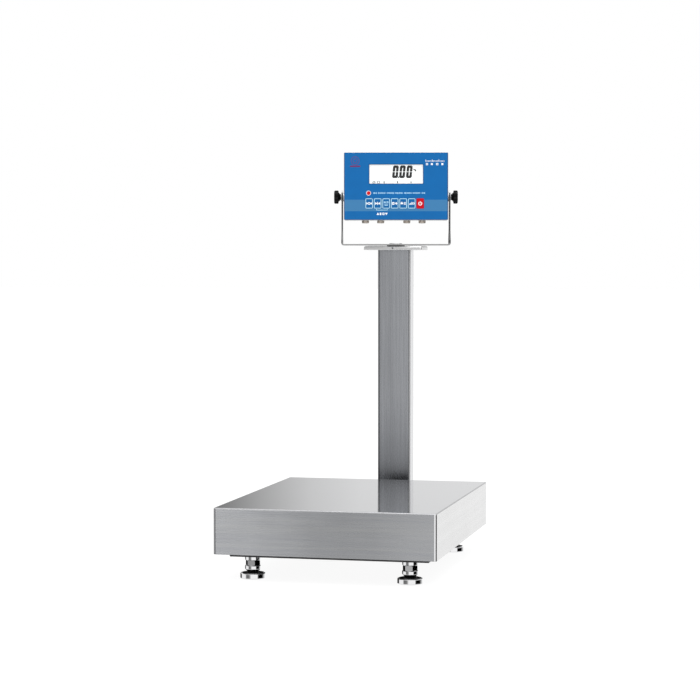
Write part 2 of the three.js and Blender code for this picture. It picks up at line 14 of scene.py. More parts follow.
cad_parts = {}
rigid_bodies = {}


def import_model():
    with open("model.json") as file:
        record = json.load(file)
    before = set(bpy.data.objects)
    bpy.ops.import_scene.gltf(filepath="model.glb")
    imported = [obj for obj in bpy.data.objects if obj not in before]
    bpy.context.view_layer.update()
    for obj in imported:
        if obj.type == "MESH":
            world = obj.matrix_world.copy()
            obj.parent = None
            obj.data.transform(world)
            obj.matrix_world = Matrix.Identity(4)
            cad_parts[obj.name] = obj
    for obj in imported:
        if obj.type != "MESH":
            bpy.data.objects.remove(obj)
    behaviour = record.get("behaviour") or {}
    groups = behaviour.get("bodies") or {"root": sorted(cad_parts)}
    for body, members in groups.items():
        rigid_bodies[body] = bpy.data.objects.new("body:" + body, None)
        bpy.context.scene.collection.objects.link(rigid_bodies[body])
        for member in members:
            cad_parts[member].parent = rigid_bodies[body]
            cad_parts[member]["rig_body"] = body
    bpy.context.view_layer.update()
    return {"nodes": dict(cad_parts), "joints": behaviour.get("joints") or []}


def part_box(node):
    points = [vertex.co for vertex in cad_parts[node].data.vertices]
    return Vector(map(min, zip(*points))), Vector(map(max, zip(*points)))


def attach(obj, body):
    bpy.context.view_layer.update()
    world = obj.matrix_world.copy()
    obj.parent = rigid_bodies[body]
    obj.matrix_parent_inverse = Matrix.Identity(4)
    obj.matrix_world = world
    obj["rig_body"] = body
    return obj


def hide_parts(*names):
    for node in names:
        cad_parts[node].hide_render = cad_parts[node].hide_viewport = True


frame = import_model()

MM = 0.001

# ------------------------------------------------------------------ places taken from the frame

joints = {joint["name"]: joint for joint in frame["joints"]}
swivel_axis = Vector(joints["head_swivel"]["pos_m"])
tilt_axis = Vector(joints["indicator_tilt"]["axis"])
PIVOT_Z = joints["indicator_tilt"]["pos_m"][2]
HEAD_TURN = math.atan2(tilt_axis.y, tilt_axis.x)
HEAD = Matrix.Translation((swivel_axis.x, swivel_axis.y, 0)) @ Matrix.Rotation(HEAD_TURN, 4, "Z")
FACING = Matrix(((1, 0, 0, 0), (0, 0, -1, 0), (0, 1, 0, 0), (0, 0, 0, 1)))  # height points at -Y
FRONT = HEAD @ FACING


def upright(x, y, z=0.0):
    return Matrix.Translation((x, y, z))


def sideways(side):
    """Height points along side * X."""
    return Matrix.Rotation(side * math.pi / 2, 4, "Y")


class Box:
    """The box of a CAD node, and an upright placement on its middle."""

    def __init__(self, node):
        self.low, self.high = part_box(node)
        self.size = self.high - self.low
        self.middle = (self.low + self.high) / 2
        self.radius = self.size.x / 2
        self.bottom, self.top = self.low.z, self.high.z
        self.place = upright(self.middle.x, self.middle.y)


class HeadBox:
    """The box of a CAD node in the head's own frame. Centre and size are x and z, seen from the front."""

    def __init__(self, node):
        inverse = HEAD.inverted()
        points = [inverse @ v.co for v in frame["nodes"][node].data.vertices]
        self.low = low = Vector([min(p[i] for p in points) for i in range(3)])
        self.high = high = Vector([max(p[i] for p in points) for i in range(3)])
        self.centre = Vector(((low.x + high.x) / 2, (low.z + high.z) / 2))
        self.size = Vector((high.x - low.x, high.z - low.z))
        self.back, self.front = -high.y, -low.y
        self.place = upright(*self.centre)

    def filled(self, corner, edge, **more):
        """A plate that fills the box."""
        loops = slab(*self.size, corner, self.back, self.front, edge, **more)
        return Shape().loft(loops, self.place)


FILM = HeadBox("keypad_overlay")
WINDOW = HeadBox("display_lens")
KEYS = [HeadBox(f"key_{number}") for number in range(1, 8)]

# ------------------------------------------------------------------ materials

class Graph:
    """A shader node tree under construction."""

    def __init__(self, tree):
        tree.nodes.clear()
        self.tree = tree

    def put(self, socket, value):
        """Gives an input a constant, or links another node's output to it."""
        if isinstance(value, bpy.types.NodeSocket):
            self.tree.links.new(value, socket)
        else:
            socket.default_value = value

    def add(self, kind, inputs=None, output=None, **settings):
        """Adds a node and returns the named output, or the node itself."""
        node = self.tree.nodes.new("ShaderNode" + kind)
        for name, value in settings.items():
            setattr(node, name, value)
        for name, value in (inputs or {}).items():
            self.put(node.inputs[name], value)
        return node if output is None else node.outputs[output]

    def math(self, operation, *values):
        return self.add("Math", dict(enumerate(values)), 0, operation=operation)

    def mix(self, factor, one, two, blend="MIX"):
        """Mixes two colours, each of them three numbers or a node's output."""
        one, two = (c if isinstance(c, bpy.types.NodeSocket) else (*c, 1) for c in (one, two))
        return self.add("Mix", {"Factor": factor, "A": one, "B": two}, "Result",
                        data_type="RGBA", blend_type=blend)

    def noise(self, scale, detail=2.0, roughness=0.5):
        """Noise over object coordinates, with its own scale along each axis."""
        place = self.add("Mapping", {"Vector": self.add("TexCoord", output="Object"), "Scale": scale}, 0)
        return self.add("TexNoise", {"Vector": place, "Scale": 1.0, "Detail": detail,
                                     "Roughness": roughness}, "Fac")

    def ranged(self, value, low, high):
        """Maps a noise, which mostly lies within 0.3 to 0.7, onto low to high."""
        return self.add("MapRange", {"Value": value, "From Min": 0.3, "From Max": 0.7,
                                     "To Min": low, "To Max": high}, "Result")

    def blend(self, value, start, end, one, two):
        """Goes from colour one to colour two while the value goes from start to end."""
        factor = self.add("MapRange", {"Value": value, "From Min": start, "From Max": end}, "Result")
        return self.mix(factor, one, two)

    def axes(self, coordinates):
        """The X, Y and Z outputs of the object or generated coordinates."""
        split = self.add("SeparateXYZ", {0: self.add("TexCoord", output=coordinates)})
        return [split.outputs[axis] for axis in "XYZ"]

    def ramp(self, value, first, last, stops):
        """A grey that changes with a value. stops: (value, brightness of 0 to 1)."""
        place = self.add("MapRange", {"Value": value, "From Min": first, "From Max": last}, "Result")
        node = self.add("ValToRGB", {"Fac": place})
        elements = node.color_ramp.elements
        while len(elements) < len(stops):
            elements.new(0.5)
        for element, (at_value, brightness) in zip(elements, stops):
            element.position = (at_value - first) / (last - first)
            element.color = (brightness, brightness, brightness, 1)
        return node.outputs["Color"]


class Surface(Graph):
    """A material with one principled shader."""

    def __init__(self, name):
        self.material = bpy.data.materials.new(name)
        self.material.use_nodes = True
        super().__init__(self.material.node_tree)
        self.shader = self.add("BsdfPrincipled")
        self.add("OutputMaterial", {"Surface": self.shader.outputs["BSDF"]})

    def set(self, inputs):
        for name, value in inputs.items():
            self.put(self.shader.inputs[name], value)

    def bump(self, height, strength, distance):
        inputs = {"Height": height, "Strength": strength, "Distance": distance}
        self.set({"Normal": self.add("Bump", inputs, "Normal")})

    def mottled(self, pattern, color, amount):
        """The colour, made darker and lighter by up to an amount as the pattern changes."""
        dark = [c * (1 - amount) for c in color]
        light = [min(1.0, c * (1 + amount)) for c in color]
        return self.mix(self.ranged(pattern, 0, 1), dark, light)


def brushed_metal(name, color, roughness, grain="X", contrast=0.1, bump=0.12, fade=None):
    """Brushed steel: hairlines along one axis vary its colour, roughness and height.

    fade: an axis, and (place on it in metres, brightness): a grey ramp multiplied into the colour, a painted
    reflection and painted shade of a dim room.
    """
    surface = Surface(name)
    along, across = 6.0, 900.0
    scale = [along if axis == grain else across for axis in "XYZ"]
    hairlines = surface.noise(scale, 5.0, 0.65)
    broad = surface.noise([number * 0.12 for number in scale], 3.0)
    both = surface.math("MULTIPLY", surface.math("ADD", hairlines, broad), 0.5)
    tint = surface.mottled(both, color, contrast)
    # painted reflection and shade: the colour multiplied by a grey ramp along an axis
    if fade:
        axis, stops = fade
        shade = surface.ramp(surface.axes("Object")["XYZ".index(axis)], stops[0][0], stops[-1][0], stops)
        tint = surface.mix(1.0, tint, shade, "MULTIPLY")
    rough = surface.math("ADD", surface.ranged(hairlines, roughness - 0.05, roughness + 0.05),
                         surface.ranged(surface.noise((7.0,) * 3), -0.02, 0.02))
    surface.set({"Base Color": tint, "Roughness": rough, "Metallic": 1.0})
    surface.bump(hairlines, bump, 0.00005)
    return surface.material


def cloudy(name, color, roughness, metallic=0.0, spread=0.08, grain=60.0, bump=0.1, shine=0.5):
    """Paint, plastic, rubber or plated metal: fine mottling in colour, roughness and height."""
    surface = Surface(name)
    broad = surface.noise((grain,) * 3, 3.0)
    surface.set({"Base Color": surface.mottled(broad, color, spread),
                 "Roughness": surface.ranged(broad, roughness * 0.88, min(1.0, roughness * 1.12)),
                 "Metallic": metallic, "Specular IOR Level": shine})
    surface.bump(surface.noise((grain * 12,) * 3, 3.0, 0.6), bump, 0.0001)
    return surface.material


def film(name, color, roughness=0.45, glow=0.0, overprint=None):
    """Printed polyester film: even colour with a very fine satin texture."""
    surface = Surface(name)
    fine = surface.noise((1500,) * 3)
    tint = surface.mottled(surface.noise((30,) * 3), color, 0.03)
    if overprint:
        tint = overprint(surface, tint)
    surface.set({"Base Color": tint, "Roughness": surface.ranged(fine, roughness - 0.04, roughness + 0.04),
                 "Specular IOR Level": 0.15})
    if glow:
        surface.set({"Emission Color": (*color, 1), "Emission Strength": glow})
    surface.bump(fine, 0.04, 0.00002)
    return surface.material


def keypad_print(surface, tint):
    """A lighter band behind the keys and a darker edge round the film."""
    x, y, _z = surface.axes("Object")
    band_middle = KEYS[3].centre.y - KEY_BAND["drop"]
    on_band = surface.math("COMPARE", y, band_middle, KEY_BAND["half_height"])
    tint = surface.mix(on_band, tint, KEY_BAND["color"])
    for value, centre, size in ((x, 0, FILM.size.x), (y, FILM.centre.y, FILM.size.y)):
        inside = surface.math("COMPARE", value, centre, size / 2 - FILM_EDGE["width"])
        tint = surface.mix(inside, FILM_EDGE["color"], tint)
    return tint


def ink(name, color, glow=0.0):
    return film(name, color, 0.5, glow)


def clear(name, color, alpha):
    surface = Surface(name)
    surface.set({"Base Color": (*color, 1), "Alpha": alpha,
                 "Roughness": surface.ranged(surface.noise((60,) * 3), 0.03, 0.06)})
    return surface.material


def grey(level, blue=0.0):
    """A neutral colour, or one that is a little bluer."""
    return level, level, level + blue


FILM_EDGE = {"width": 1.4 * MM, "color": (0.002, 0.065, 0.2)}
KEY_BAND = {"half_height": 12.9 * MM, "drop": 4.5 * MM, "color": (0.050, 0.196, 0.40)}
# painted light, as brightness multiplied into the steel's colour: a painted reflection along the pan's
# front, left to right, and painted shade up the column, from the pan's top, darkest there
PAN_FRONT_PAINTED_REFLECTION = ((-0.225, 1.0), (-0.15, 0.92), (-0.09, 0.81), (-0.03, 0.66), (0.04, 0.59), (0.1, 0.58),
              (0.17, 0.65), (0.225, 0.66))
COLUMN_FOOT_PAINTED_SHADE = ((0.142, 0.37), (0.157, 0.46), (0.167, 0.56), (0.182, 0.66), (0.202, 0.74), (0.252, 0.91),
               (0.3, 1.0))
MATERIALS = {
    # Pan: one sheet whose front and back, sides and top get their own base colours, painted light and shade;
    # the front also a painted reflection, the bends a painted shade and the right corners a painted
    # highlight.
    "pan_x": brushed_metal("pan_brushed_across", (0.90, 0.92, 0.99), 0.26, fade=("X", PAN_FRONT_PAINTED_REFLECTION)),
    "pan_y": brushed_metal("pan_brushed_along", grey(0.75), 0.26, "Y", 0.05),
    "pan_bend_painted_shade": brushed_metal("pan_brushed_bend_painted_shade", grey(0.34, 0.01), 0.26),
    "pan_corner_painted_highlight": brushed_metal("pan_brushed_corner_painted_highlight", grey(0.86, 0.01), 0.12, "Z", 0.03, 0.03),
    "pan_top": brushed_metal("pan_brushed_top", (0.484, 0.490, 0.506), 0.06, "X", 0.04, 0.05),
    # Column: front and back, sides, front corners and the outer strip of the right corner get their own base
    # colours, painted light and shade: dark corners, a lighter strip and lighter sides; the front also
    # painted shade towards its foot.
    "column": brushed_metal("column_brushed", (0.496, 0.508, 0.535), 0.26, "Z", 0.14,
                            fade=("Z", COLUMN_FOOT_PAINTED_SHADE)),
    "column_corner_painted_shade": brushed_metal("column_brushed_corner_painted_shade", (0.215, 0.22, 0.23), 0.26, "Z", 0.14,
                                   fade=("Z", COLUMN_FOOT_PAINTED_SHADE)),
    "column_edge_painted_light": brushed_metal("column_brushed_edge_painted_light", grey(0.65, 0.01), 0.5, "Z", 0.05),
    "column_side": brushed_metal("column_brushed_side", grey(0.73, 0.01), 0.26, "Z", 0.14),
    # Head plate: front and sides differ in base colour as well as grain, painted light and shade.
    "plate": brushed_metal("head_plate_brushed", grey(0.85), 0.32, "X", 0.06),
    "plate_side": brushed_metal("head_plate_brushed_side", grey(0.74), 0.32, "Y", 0.06),
    # Bracket: the arms are a darker copy of the plate's steel, painted shade.
    "bracket": brushed_metal("bracket_brushed", grey(0.66), 0.36, "X", 0.06),
    "bracket_arm_painted_shade": brushed_metal("bracket_arm_brushed_painted_shade", grey(0.36), 0.36, "Z", 0.06),
    "cut_edge": brushed_metal("bracket_cut_edge", grey(0.10), 0.5, "Z"),
    "housing": brushed_metal("housing_brushed", grey(0.74, 0.01), 0.30, "X", 0.05),
    "housing_side": brushed_metal("housing_brushed_side", grey(0.74, 0.01), 0.30, "Z", 0.05),
    "polished": cloudy("polished_steel", grey(0.90, 0.01), 0.05, 1.0, 0.03, 40, 0.01),
    "zinc": cloudy("zinc_plating", (0.62, 0.63, 0.65), 0.32, 1.0, 0.08, 90),
    # Frame tubes: near-black paint, made darker still to stand for the shade under the pan, partly painted
    # shade.
    "frame_paint_and_shade": cloudy("dark_frame_paint_and_painted_shade", grey(0.012, 0.001), 0.5, 0.0, 0.15, 80, 0.3, 0.3),
    "aluminium": cloudy("machined_aluminium", (0.72, 0.73, 0.75), 0.38, 1.0, 0.05, 120),
    "rubber": cloudy("black_rubber", grey(0.018), 0.8, 0.0, 0.2, 120, 0.4),
    "knob": cloudy("moulded_black", grey(0.004, 0.0005), 0.5, 0.0, 0.2, 150, 0.3, 0.1),
    "nickel": cloudy("nickel_plating", (0.60, 0.54, 0.48), 0.34, 1.0, 0.12, 120),
    "board": cloudy("solder_mask", (0.015, 0.14, 0.045), 0.35, 0.0, 0.15, 90),
    "film": film("keypad_print", (0.004, 0.127, 0.38), overprint=keypad_print),
    "key": film("key_blue", (0.005, 0.120, 0.345)),
    "key_red": film("key_red", (0.56, 0.001, 0.010)),
    "white": ink("ink_white", (0.93, 0.94, 0.95)),
    "pale": ink("ink_pale_blue", (0.50, 0.80, 0.98)),
    "faint": ink("ink_faint_red", (0.162, 0.0296, 0.117)),
    "red": ink("ink_red", (0.6105, 0.0070, 0.0130)),
    "black": ink("ink_black", grey(0.001)),
    # A dark line round the display window: painted shadow.
    "painted_window_shadow": ink("window_painted_shadow", (0.002, 0.055, 0.17)),
    "lcd": ink("lcd_backlit", (0.86, 0.88, 0.88), 0.18),
    "clear": clear("clear_plastic", (0.95, 0.97, 0.98), 0.02),
    "fluid": clear("level_fluid", (0.55, 0.75, 0.10), 0.75),
}

# ------------------------------------------------------------------ outlines and lofts

def polar(radius, angle, *height):
    return Vector((radius * math.cos(angle), radius * math.sin(angle), *height))


def rounding(steps):
    """The way round a rounded edge: 1 - sine and 1 - cosine of angles from 0 to 90 degrees."""
    angles = [step / steps * math.pi / 2 for step in range(steps + 1)]
    return [(1 - math.sin(angle), 1 - math.cos(angle)) for angle in angles]


def rounded_rectangle(width, height, radius, steps=6):
    """Points of a rounded rectangle about the origin, anticlockwise."""
    radius = max(radius, 1e-6)
    points = []
    for quarter, (sx, sy) in enumerate(((1, -1), (1, 1), (-1, 1), (-1, -1))):
        centre = Vector((sx * (width / 2 - radius), sy * (height / 2 - radius)))
        for step in range(steps + 1):
            points.append(centre + radius * polar(1, (quarter - 1 + step / steps) * math.pi / 2))
    return points


def circle(radius, count=64):
    turn = 2 * math.pi / count
    return [polar(radius, i * turn) for i in range(count)]


def level(outline, height):
    return [Vector((p.x, p.y, height)) for p in outline]


def slab(width, height, radius, low, high, edge=0.0, steps=3, edge_low=None, corner_steps=6):
    """A flat plate with rounded corners and rounded upper and lower edges."""
    edge_low = edge if edge_low is None else edge_low

    def ring(inset, at_height):
        outline = rounded_rectangle(width - 2 * inset, height - 2 * inset, radius - inset, corner_steps)
        return level(outline, at_height)
    arc = rounding(steps)
    return ([ring(edge_low * across, low + edge_low * up) for across, up in arc]
            + [ring(edge * across, high - edge * up) for across, up in reversed(arc)])


def lathe_loops(profile, count=64, unit=1.0):
    """A turned solid. profile: radius and height, in metres unless a unit is given."""
    return [level(circle(radius * unit, count), height * unit) for radius, height in profile]


def cylinder(radius, low, high, count=32):
    return lathe_loops([(radius, low), (radius, high)], count)


def ring_loops(outer, inner, low, high, edge=0.3 * MM, count=48):
    """A washer: a flat ring with slightly broken edges."""
    profile = ((inner, low + edge), (inner + edge, low), (outer - edge, low), (outer, low + edge),
               (outer, high - edge), (outer - edge, high), (inner + edge, high), (inner, high - edge))
    return lathe_loops(profile, count)


def hexagon_loops(flats, low, high, bore=None, count=72):
    """A nut or bolt head with the curved chamfers of a turned hexagon."""
    inner, slope, lip = flats / 2 * 0.985, 0.55, 0.5 * MM
    rim = []
    for i in range(count):
        angle = i * 2 * math.pi / count
        folded = angle % (math.pi / 3) - math.pi / 6
        rim.append(((flats / 2) / math.cos(folded), angle))

    def chamfer(height, way):
        return [polar(radius, angle, height + way * (radius - inner) * slope) for radius, angle in rim]
    loops = [level(circle(inner, count), low), chamfer(low, 1), chamfer(high, -1),
             level(circle(inner, count), high)]
    if bore:
        hole = [(bore + lip, high), (bore, high - lip), (bore, low + lip), (bore + lip, low)]
        loops += lathe_loops(hole, count)
    return loops


def thread_loops(radius, pitch, depth, low, high, count=32, per_turn=8):
    """A screw thread: one rounded ridge that climbs a pitch in each turn, faded out at both ends."""
    steps = int((high - low) / pitch * per_turn)
    loops = []
    for step in range(steps + 1):
        height = low + (high - low) * step / steps
        fade = min(1.0, min(step, steps - step) / per_turn)
        loop = []
        for i in range(count):
            phase = height / pitch - i / count
            groove = depth * fade * (0.5 - 0.5 * math.cos(2 * math.pi * phase))
            loop.append(polar(radius - groove, 2 * math.pi * i / count, height))
        loops.append(loop)
    return loops


# Threads: radius, pitch and depth.
M6, M8 = (3 * MM, 1 * MM, 0.5 * MM), (4 * MM, 1.25 * MM, 0.6 * MM)
M12, M16 = (6 * MM, 1.5 * MM, 0.6 * MM), (7.9 * MM, 2 * MM, 1 * MM)


def bevelled(obj, width, degrees):
    """Rounds the edges that are sharper than an angle."""
    modifier = obj.modifiers.new("edges", "BEVEL")
    modifier.width = width
    modifier.segments = 2
    modifier.limit_method = "ANGLE"
    modifier.angle_limit = math.radians(degrees)


class Shape:
    """A mesh under construction, made of lofted closed shells."""

    SHARP = math.radians(35)

    def __init__(self):
        self.bm = bmesh.new()

    def loft(self, loops, matrix=None, ring=False, material=0, bands=None):
        """Joins the loops into one closed shell. bands gives a material to each band between two loops."""
        move = matrix or Matrix.Identity(4)
        rows = [[self.bm.verts.new(move @ p) for p in loop] for loop in loops]
        pairs = list(zip(rows, rows[1:])) + ([(rows[-1], rows[0])] if ring else [])
        faces = []
        for k, (one, two) in enumerate(pairs):
            for i in range(len(one)):
                j = (i + 1) % len(one)
                face = self.bm.faces.new((one[i], one[j], two[j], two[i]))
                face.material_index = bands[k] if bands else material
                faces.append(face)
        if not ring:
            for row, band in ((rows[0], 0), (rows[-1], -1)):
                face = self.bm.faces.new(row)
                face.material_index = bands[band] if bands else material
                faces.append(face)
        bmesh.ops.recalc_face_normals(self.bm, faces=faces)
        return self

    def cut(self, cutters):
        """Cuts the shells of another shape out of this one."""
        target, tool = self.closed("cut_target"), cutters.closed("cut_tool")
        modifier = target.modifiers.new("cut", "BOOLEAN")
        modifier.operation = "DIFFERENCE"
        modifier.solver = "EXACT"
        modifier.object = tool
        bpy.context.view_layer.update()
        evaluated = target.evaluated_get(bpy.context.evaluated_depsgraph_get())
        self.bm = bmesh.new()
        self.bm.from_mesh(evaluated.to_mesh())
        evaluated.to_mesh_clear()
        for obj in (target, tool):
            mesh = obj.data
            bpy.data.objects.remove(obj)
            bpy.data.meshes.remove(mesh)
        return self

    def closed(self, name):
        """Ends the construction and returns the shape as an object."""
        mesh = bpy.data.meshes.new(name)
        self.bm.to_mesh(mesh)
        self.bm.free()
        obj = bpy.data.objects.new(name, mesh)
        bpy.context.scene.collection.objects.link(obj)
        return obj

    def color_by(self, choose):
        """Gives each face the material index that choose returns for its normal."""
        self.bm.normal_update()
        for face in self.bm.faces:
            face.material_index = choose(face.normal)

    def piece(self, name, materials, node, place=None, bevel=0.0, slot=None, hides=True):
        """Ends the construction: a named object that stands for a CAD node and rides on its body."""
        for face in self.bm.faces:
            face.smooth = True
        for edge in self.bm.edges:
            edge.smooth = len(edge.link_faces) == 2 and edge.calc_face_angle(0) < self.SHARP
        obj = self.closed(name)
        for key in materials:
            obj.data.materials.append(MATERIALS[key])
        if place is not None:
            obj.matrix_world = place
        if bevel:
            bevelled(obj, bevel, 40)
        weighted = obj.modifiers.new("normals", "WEIGHTED_NORMAL")
        weighted.keep_sharp = True
        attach(obj, frame["nodes"][node]["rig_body"])
        if hides:
            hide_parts(node)
        return obj


# ------------------------------------------------------------------ parts of shapes

def side_or_front(normal):
    """1 on faces that look sideways, else 0."""
    return 1 if abs(normal.x) > 0.7 else 0


def tube(shape, x_span, y_span, z_span, wall, corner, along):
    """A rectangular tube, open at both ends, with rounded corners."""
    length, across = (x_span, y_span) if along == "X" else (y_span, x_span)
    centre = Vector((sum(across) / 2, sum(z_span) / 2))
    width, height = across[1] - across[0], z_span[1] - z_span[0]

    def ring(inset, at):
        outline = rounded_rectangle(width - 2 * inset, height - 2 * inset, corner - inset, 4)
        points = [centre + p for p in outline]
        return [Vector((at, p.x, p.y)) if along == "X" else Vector((p.x, at, p.y)) for p in points]
    start, end = length
    shape.loft([ring(0, start), ring(0, end), ring(wall, end), ring(wall, start)], ring=True)


def seam(shape, start, end, bead=2.2 * MM):
    """A weld bead between two points, rippled like laid metal."""
    start, end = Vector(start), Vector(end)
    run = end - start
    side = run.normalized().orthogonal().normalized()
    up = run.normalized().cross(side)
    count = max(8, int(run.length / (1.5 * MM)))
    loops = []
    for i in range(count + 1):
        taper = min(1.0, i / 3 + 0.15, (count - i) / 3 + 0.15)
        radius = bead * taper * (1 + 0.14 * math.sin(i * 1.9))
        middle = start + run * (i / count)
        loops.append([middle + radius * (side * math.cos(a) + up * math.sin(a))
                      for a in (2 * math.pi * k / 8 for k in range(8))])
    shape.loft(loops)


def lobed(inset, radius, valley, lobes, count=120):
    """A knob's outline: a circle drawn in between its lobes."""
    points = []
    for i in range(count):
        angle = 2 * math.pi * i / count
        reach = radius - inset - valley * (0.5 - 0.5 * math.cos(lobes * angle)) ** 1.3
        points.append(polar(reach, angle))
    return points


def cross_recesses(shape, spots, height, size=2.2 * MM, depth=1.2 * MM):
    """Cuts two crossed slots into each screw head, one direction after the other."""
    for turn in (0, math.pi / 2):
        slots = Shape()
        for spot in spots:
            slot = slab(2 * size, 0.7 * MM, 0.2 * MM, height - depth, height + depth, corner_steps=2)
            slots.loft(slot, spot @ Matrix.Rotation(turn, 4, "Z"))
        shape.cut(slots)


class Signs:
    """Flat printed signs on a face of a shape. Millimetres: x to the right and z up."""

    THICK = 0.04 * MM

    def __init__(self, shape, height, material):
        self.shape, self.heights, self.material = shape, (height, height + self.THICK), material

    def outline(self, points, hole=None):
        loops = [level([Vector(p) * MM for p in points], h) for h in self.heights]
        if hole:
            loops += [level([Vector(p) * MM for p in hole], h) for h in reversed(self.heights)]
        self.shape.loft(loops, ring=bool(hole), material=self.material)

    def around(self, x, z, outer, inner=None):
        """An outline about a point, with or without a hole."""
        moved = [[(x + p.x, z + p.y) for p in points] for points in (outer, inner) if points]
        self.outline(*moved)

    def bar(self, x, z, width, height, lean=0.0):
        dx, dz, slip = width / 2, height / 2, lean * height / 2
        self.outline([(x - dx - slip, z - dz), (x + dx - slip, z - dz), (x + dx + slip, z + dz),
                      (x - dx + slip, z + dz)])

    def disc(self, x, z, radius):
        self.around(x, z, circle(radius, 28))

    def ring(self, x, z, radius, thick):
        self.around(x, z, circle(radius, 28), circle(radius - thick, 28))

    def triangle(self, x, z, size, bearing):
        self.around(x, z, [polar(size, math.radians(bearing + 120 * i)) for i in range(3)])

    def frame(self, x, z, width, height, corner, thick):
        self.around(x, z, rounded_rectangle(width, height, corner, 4),
                    rounded_rectangle(width - 2 * thick, height - 2 * thick, corner - thick, 4))

    def arc(self, x, z, radius, thick, start, end, steps=20):
        turns = [math.radians(start + (end - start) * i / steps) for i in range(steps + 1)]
        inner = [polar(radius - thick, turn) for turn in reversed(turns)]
        self.around(x, z, [polar(radius, turn) for turn in turns] + inner)


def zero(signs, x, z, width, height, stroke, lean):
    """A seven-segment nought, bottom left corner at x, z: two cups that nearly meet half way up."""
    middle, chamfer, gap = z + height / 2, stroke * 0.5, 0.5
    for way in (-1, 1):
        tip, end = middle + way * gap, middle + way * height / 2
        outer = [(x, tip), (x, end - way * chamfer), (x + chamfer, end), (x + width - chamfer, end),
                 (x + width, end - way * chamfer), (x + width, tip)]
        inner = [(x + width - stroke, tip), (x + width - stroke, end - way * stroke),
                 (x + stroke, end - way * stroke), (x + stroke, tip)]
        signs.outline([(across + lean * (up - z), up) for across, up in outer + inner])


# ------------------------------------------------------------------ camera, floor and light

# The photograph's viewing angle: a long lens, a little above the head plate, 13 degrees to the right.
CAMERA = {"lens": 107.2, "from_pan_corner": (1.1855, -3.9424, 0.4904), "down": 2.48, "left": 12.96}
# What a shiny surface sees round it: (bearing in degrees, 0 behind the scale, 90 on its right and
# 180 in front of it, brightness). Below the horizon dark panels give small round parts their crisp
# black stripes; above it nothing is black, so the pan's top stays grey from every side.
BESIDE_COLUMN = ((343.3, 0.2), (344.5, 0.47), (345.4, 0.65), (346.3, 0.78), (347.3, 0.86), (350, 0.9))
BELOW_HORIZON = (
    (0, 1.0), (13, 1.05), (25, 1.0), (40, 0.6), (58, 0.3), (68, 0.0), (115, 0.0), (124, 0.95),
    (181, 0.98), (191, 0.45), (200, 0.2), (226, 0.14), (238, 0.95), (284, 0.9), (293, 0.0),
    (341.3, 0.0), (342.6, 0.08), *BESIDE_COLUMN,
)
ABOVE_HORIZON = (
    (0, 1.0), (13, 1.05), (25, 1.0), (40, 0.75), (58, 0.55), (90, 0.5), (115, 0.6), (124, 0.95),
    (181, 0.98), (191, 0.7), (200, 0.5), (226, 0.45), (238, 0.95), (284, 0.9), (300, 0.6),
    (322, 0.5), (333, 0.36), (339, 0.26), (342, 0.19), *BESIDE_COLUMN,
)
BRIGHTEST_PANEL = 1.5
# Where one part of the surroundings goes over into the next: the upward part of a direction.
GROUND, HORIZON, CEILING = (-0.18, -0.3), (0.06, 0.1), (0.24, 0.6)
GROUND_LIGHT, CEILING_LIGHT = 0.85, 1.15
LAMP = {"size": 4.0, "power": 85, "place": (0.6, -0.6, 3.6), "aim": (0, 0, 0.3)}


def make_camera():
    pan = Box("pan")
    data = bpy.data.cameras.new("camera")
    data.lens = CAMERA["lens"]
    data.sensor_width = 36
    data.clip_end = 200
    camera = bpy.data.objects.new("camera", data)
    camera.location = Vector((pan.low.x, pan.low.y, pan.top)) + Vector(CAMERA["from_pan_corner"])
    camera.rotation_euler = (math.radians(90 - CAMERA["down"]), 0, math.radians(CAMERA["left"]))
    bpy.context.scene.collection.objects.link(camera)
    bpy.context.scene.camera = camera


def make_floor():
    surface = Surface("floor_white")
    surface.set({"Base Color": (*grey(0.13), 1), "Roughness": 0.9, "Specular IOR Level": 0.0,
                 "Emission Color": (*grey(1), 1), "Emission Strength": 0.93})
    floor = Shape().loft(slab(80, 80, 0.1, -0.02, 0)).closed("floor")
    floor.data.materials.append(surface.material)
    floor.visible_glossy = False


def make_world():
    world = bpy.data.worlds.new("studio")
    bpy.context.scene.world = world
    world.use_nodes = True
    sky = Graph(world.node_tree)
    x, y, z = sky.axes("Generated")
    bearing = sky.math("ARCTAN2", x, y)
    panels = []
    for surroundings in (BELOW_HORIZON, ABOVE_HORIZON):
        stops = [(math.radians((degrees + 180) % 360 - 180), brightness / BRIGHTEST_PANEL)
                 for degrees, brightness in surroundings]
        panels.append(sky.ramp(bearing, -math.pi, math.pi, sorted(stops)))
    panel = sky.add("VectorMath", {0: sky.blend(z, *HORIZON, *panels), "Scale": BRIGHTEST_PANEL},
                    "Vector", operation="SCALE")
    above_floor = sky.blend(z, *GROUND, panel, grey(GROUND_LIGHT))
    under_ceiling = sky.blend(z, *CEILING, above_floor, grey(CEILING_LIGHT))
    # the camera itself sees a plain white backdrop
    seen = sky.mix(sky.add("LightPath", output="Is Camera Ray"), under_ceiling, grey(1))
    sky.add("OutputWorld", {"Surface": sky.add("Background", {"Color": seen}, 0)})


def make_ceiling_light():
    data = bpy.data.lights.new("ceiling_light", "AREA")
    data.size = LAMP["size"]
    data.energy = LAMP["power"]
    light = bpy.data.objects.new("ceiling_light", data)
    light.location = LAMP["place"]
    direction = Vector(LAMP["aim"]) - Vector(LAMP["place"])
    light.rotation_euler = direction.to_track_quat("-Z", "Y").to_euler()
    bpy.context.scene.collection.objects.link(light)


make_camera()
make_floor()
make_world()
make_ceiling_light()
bpy.context.scene.view_settings.view_transform = "Standard"

# ------------------------------------------------------------------ folded sheet trays

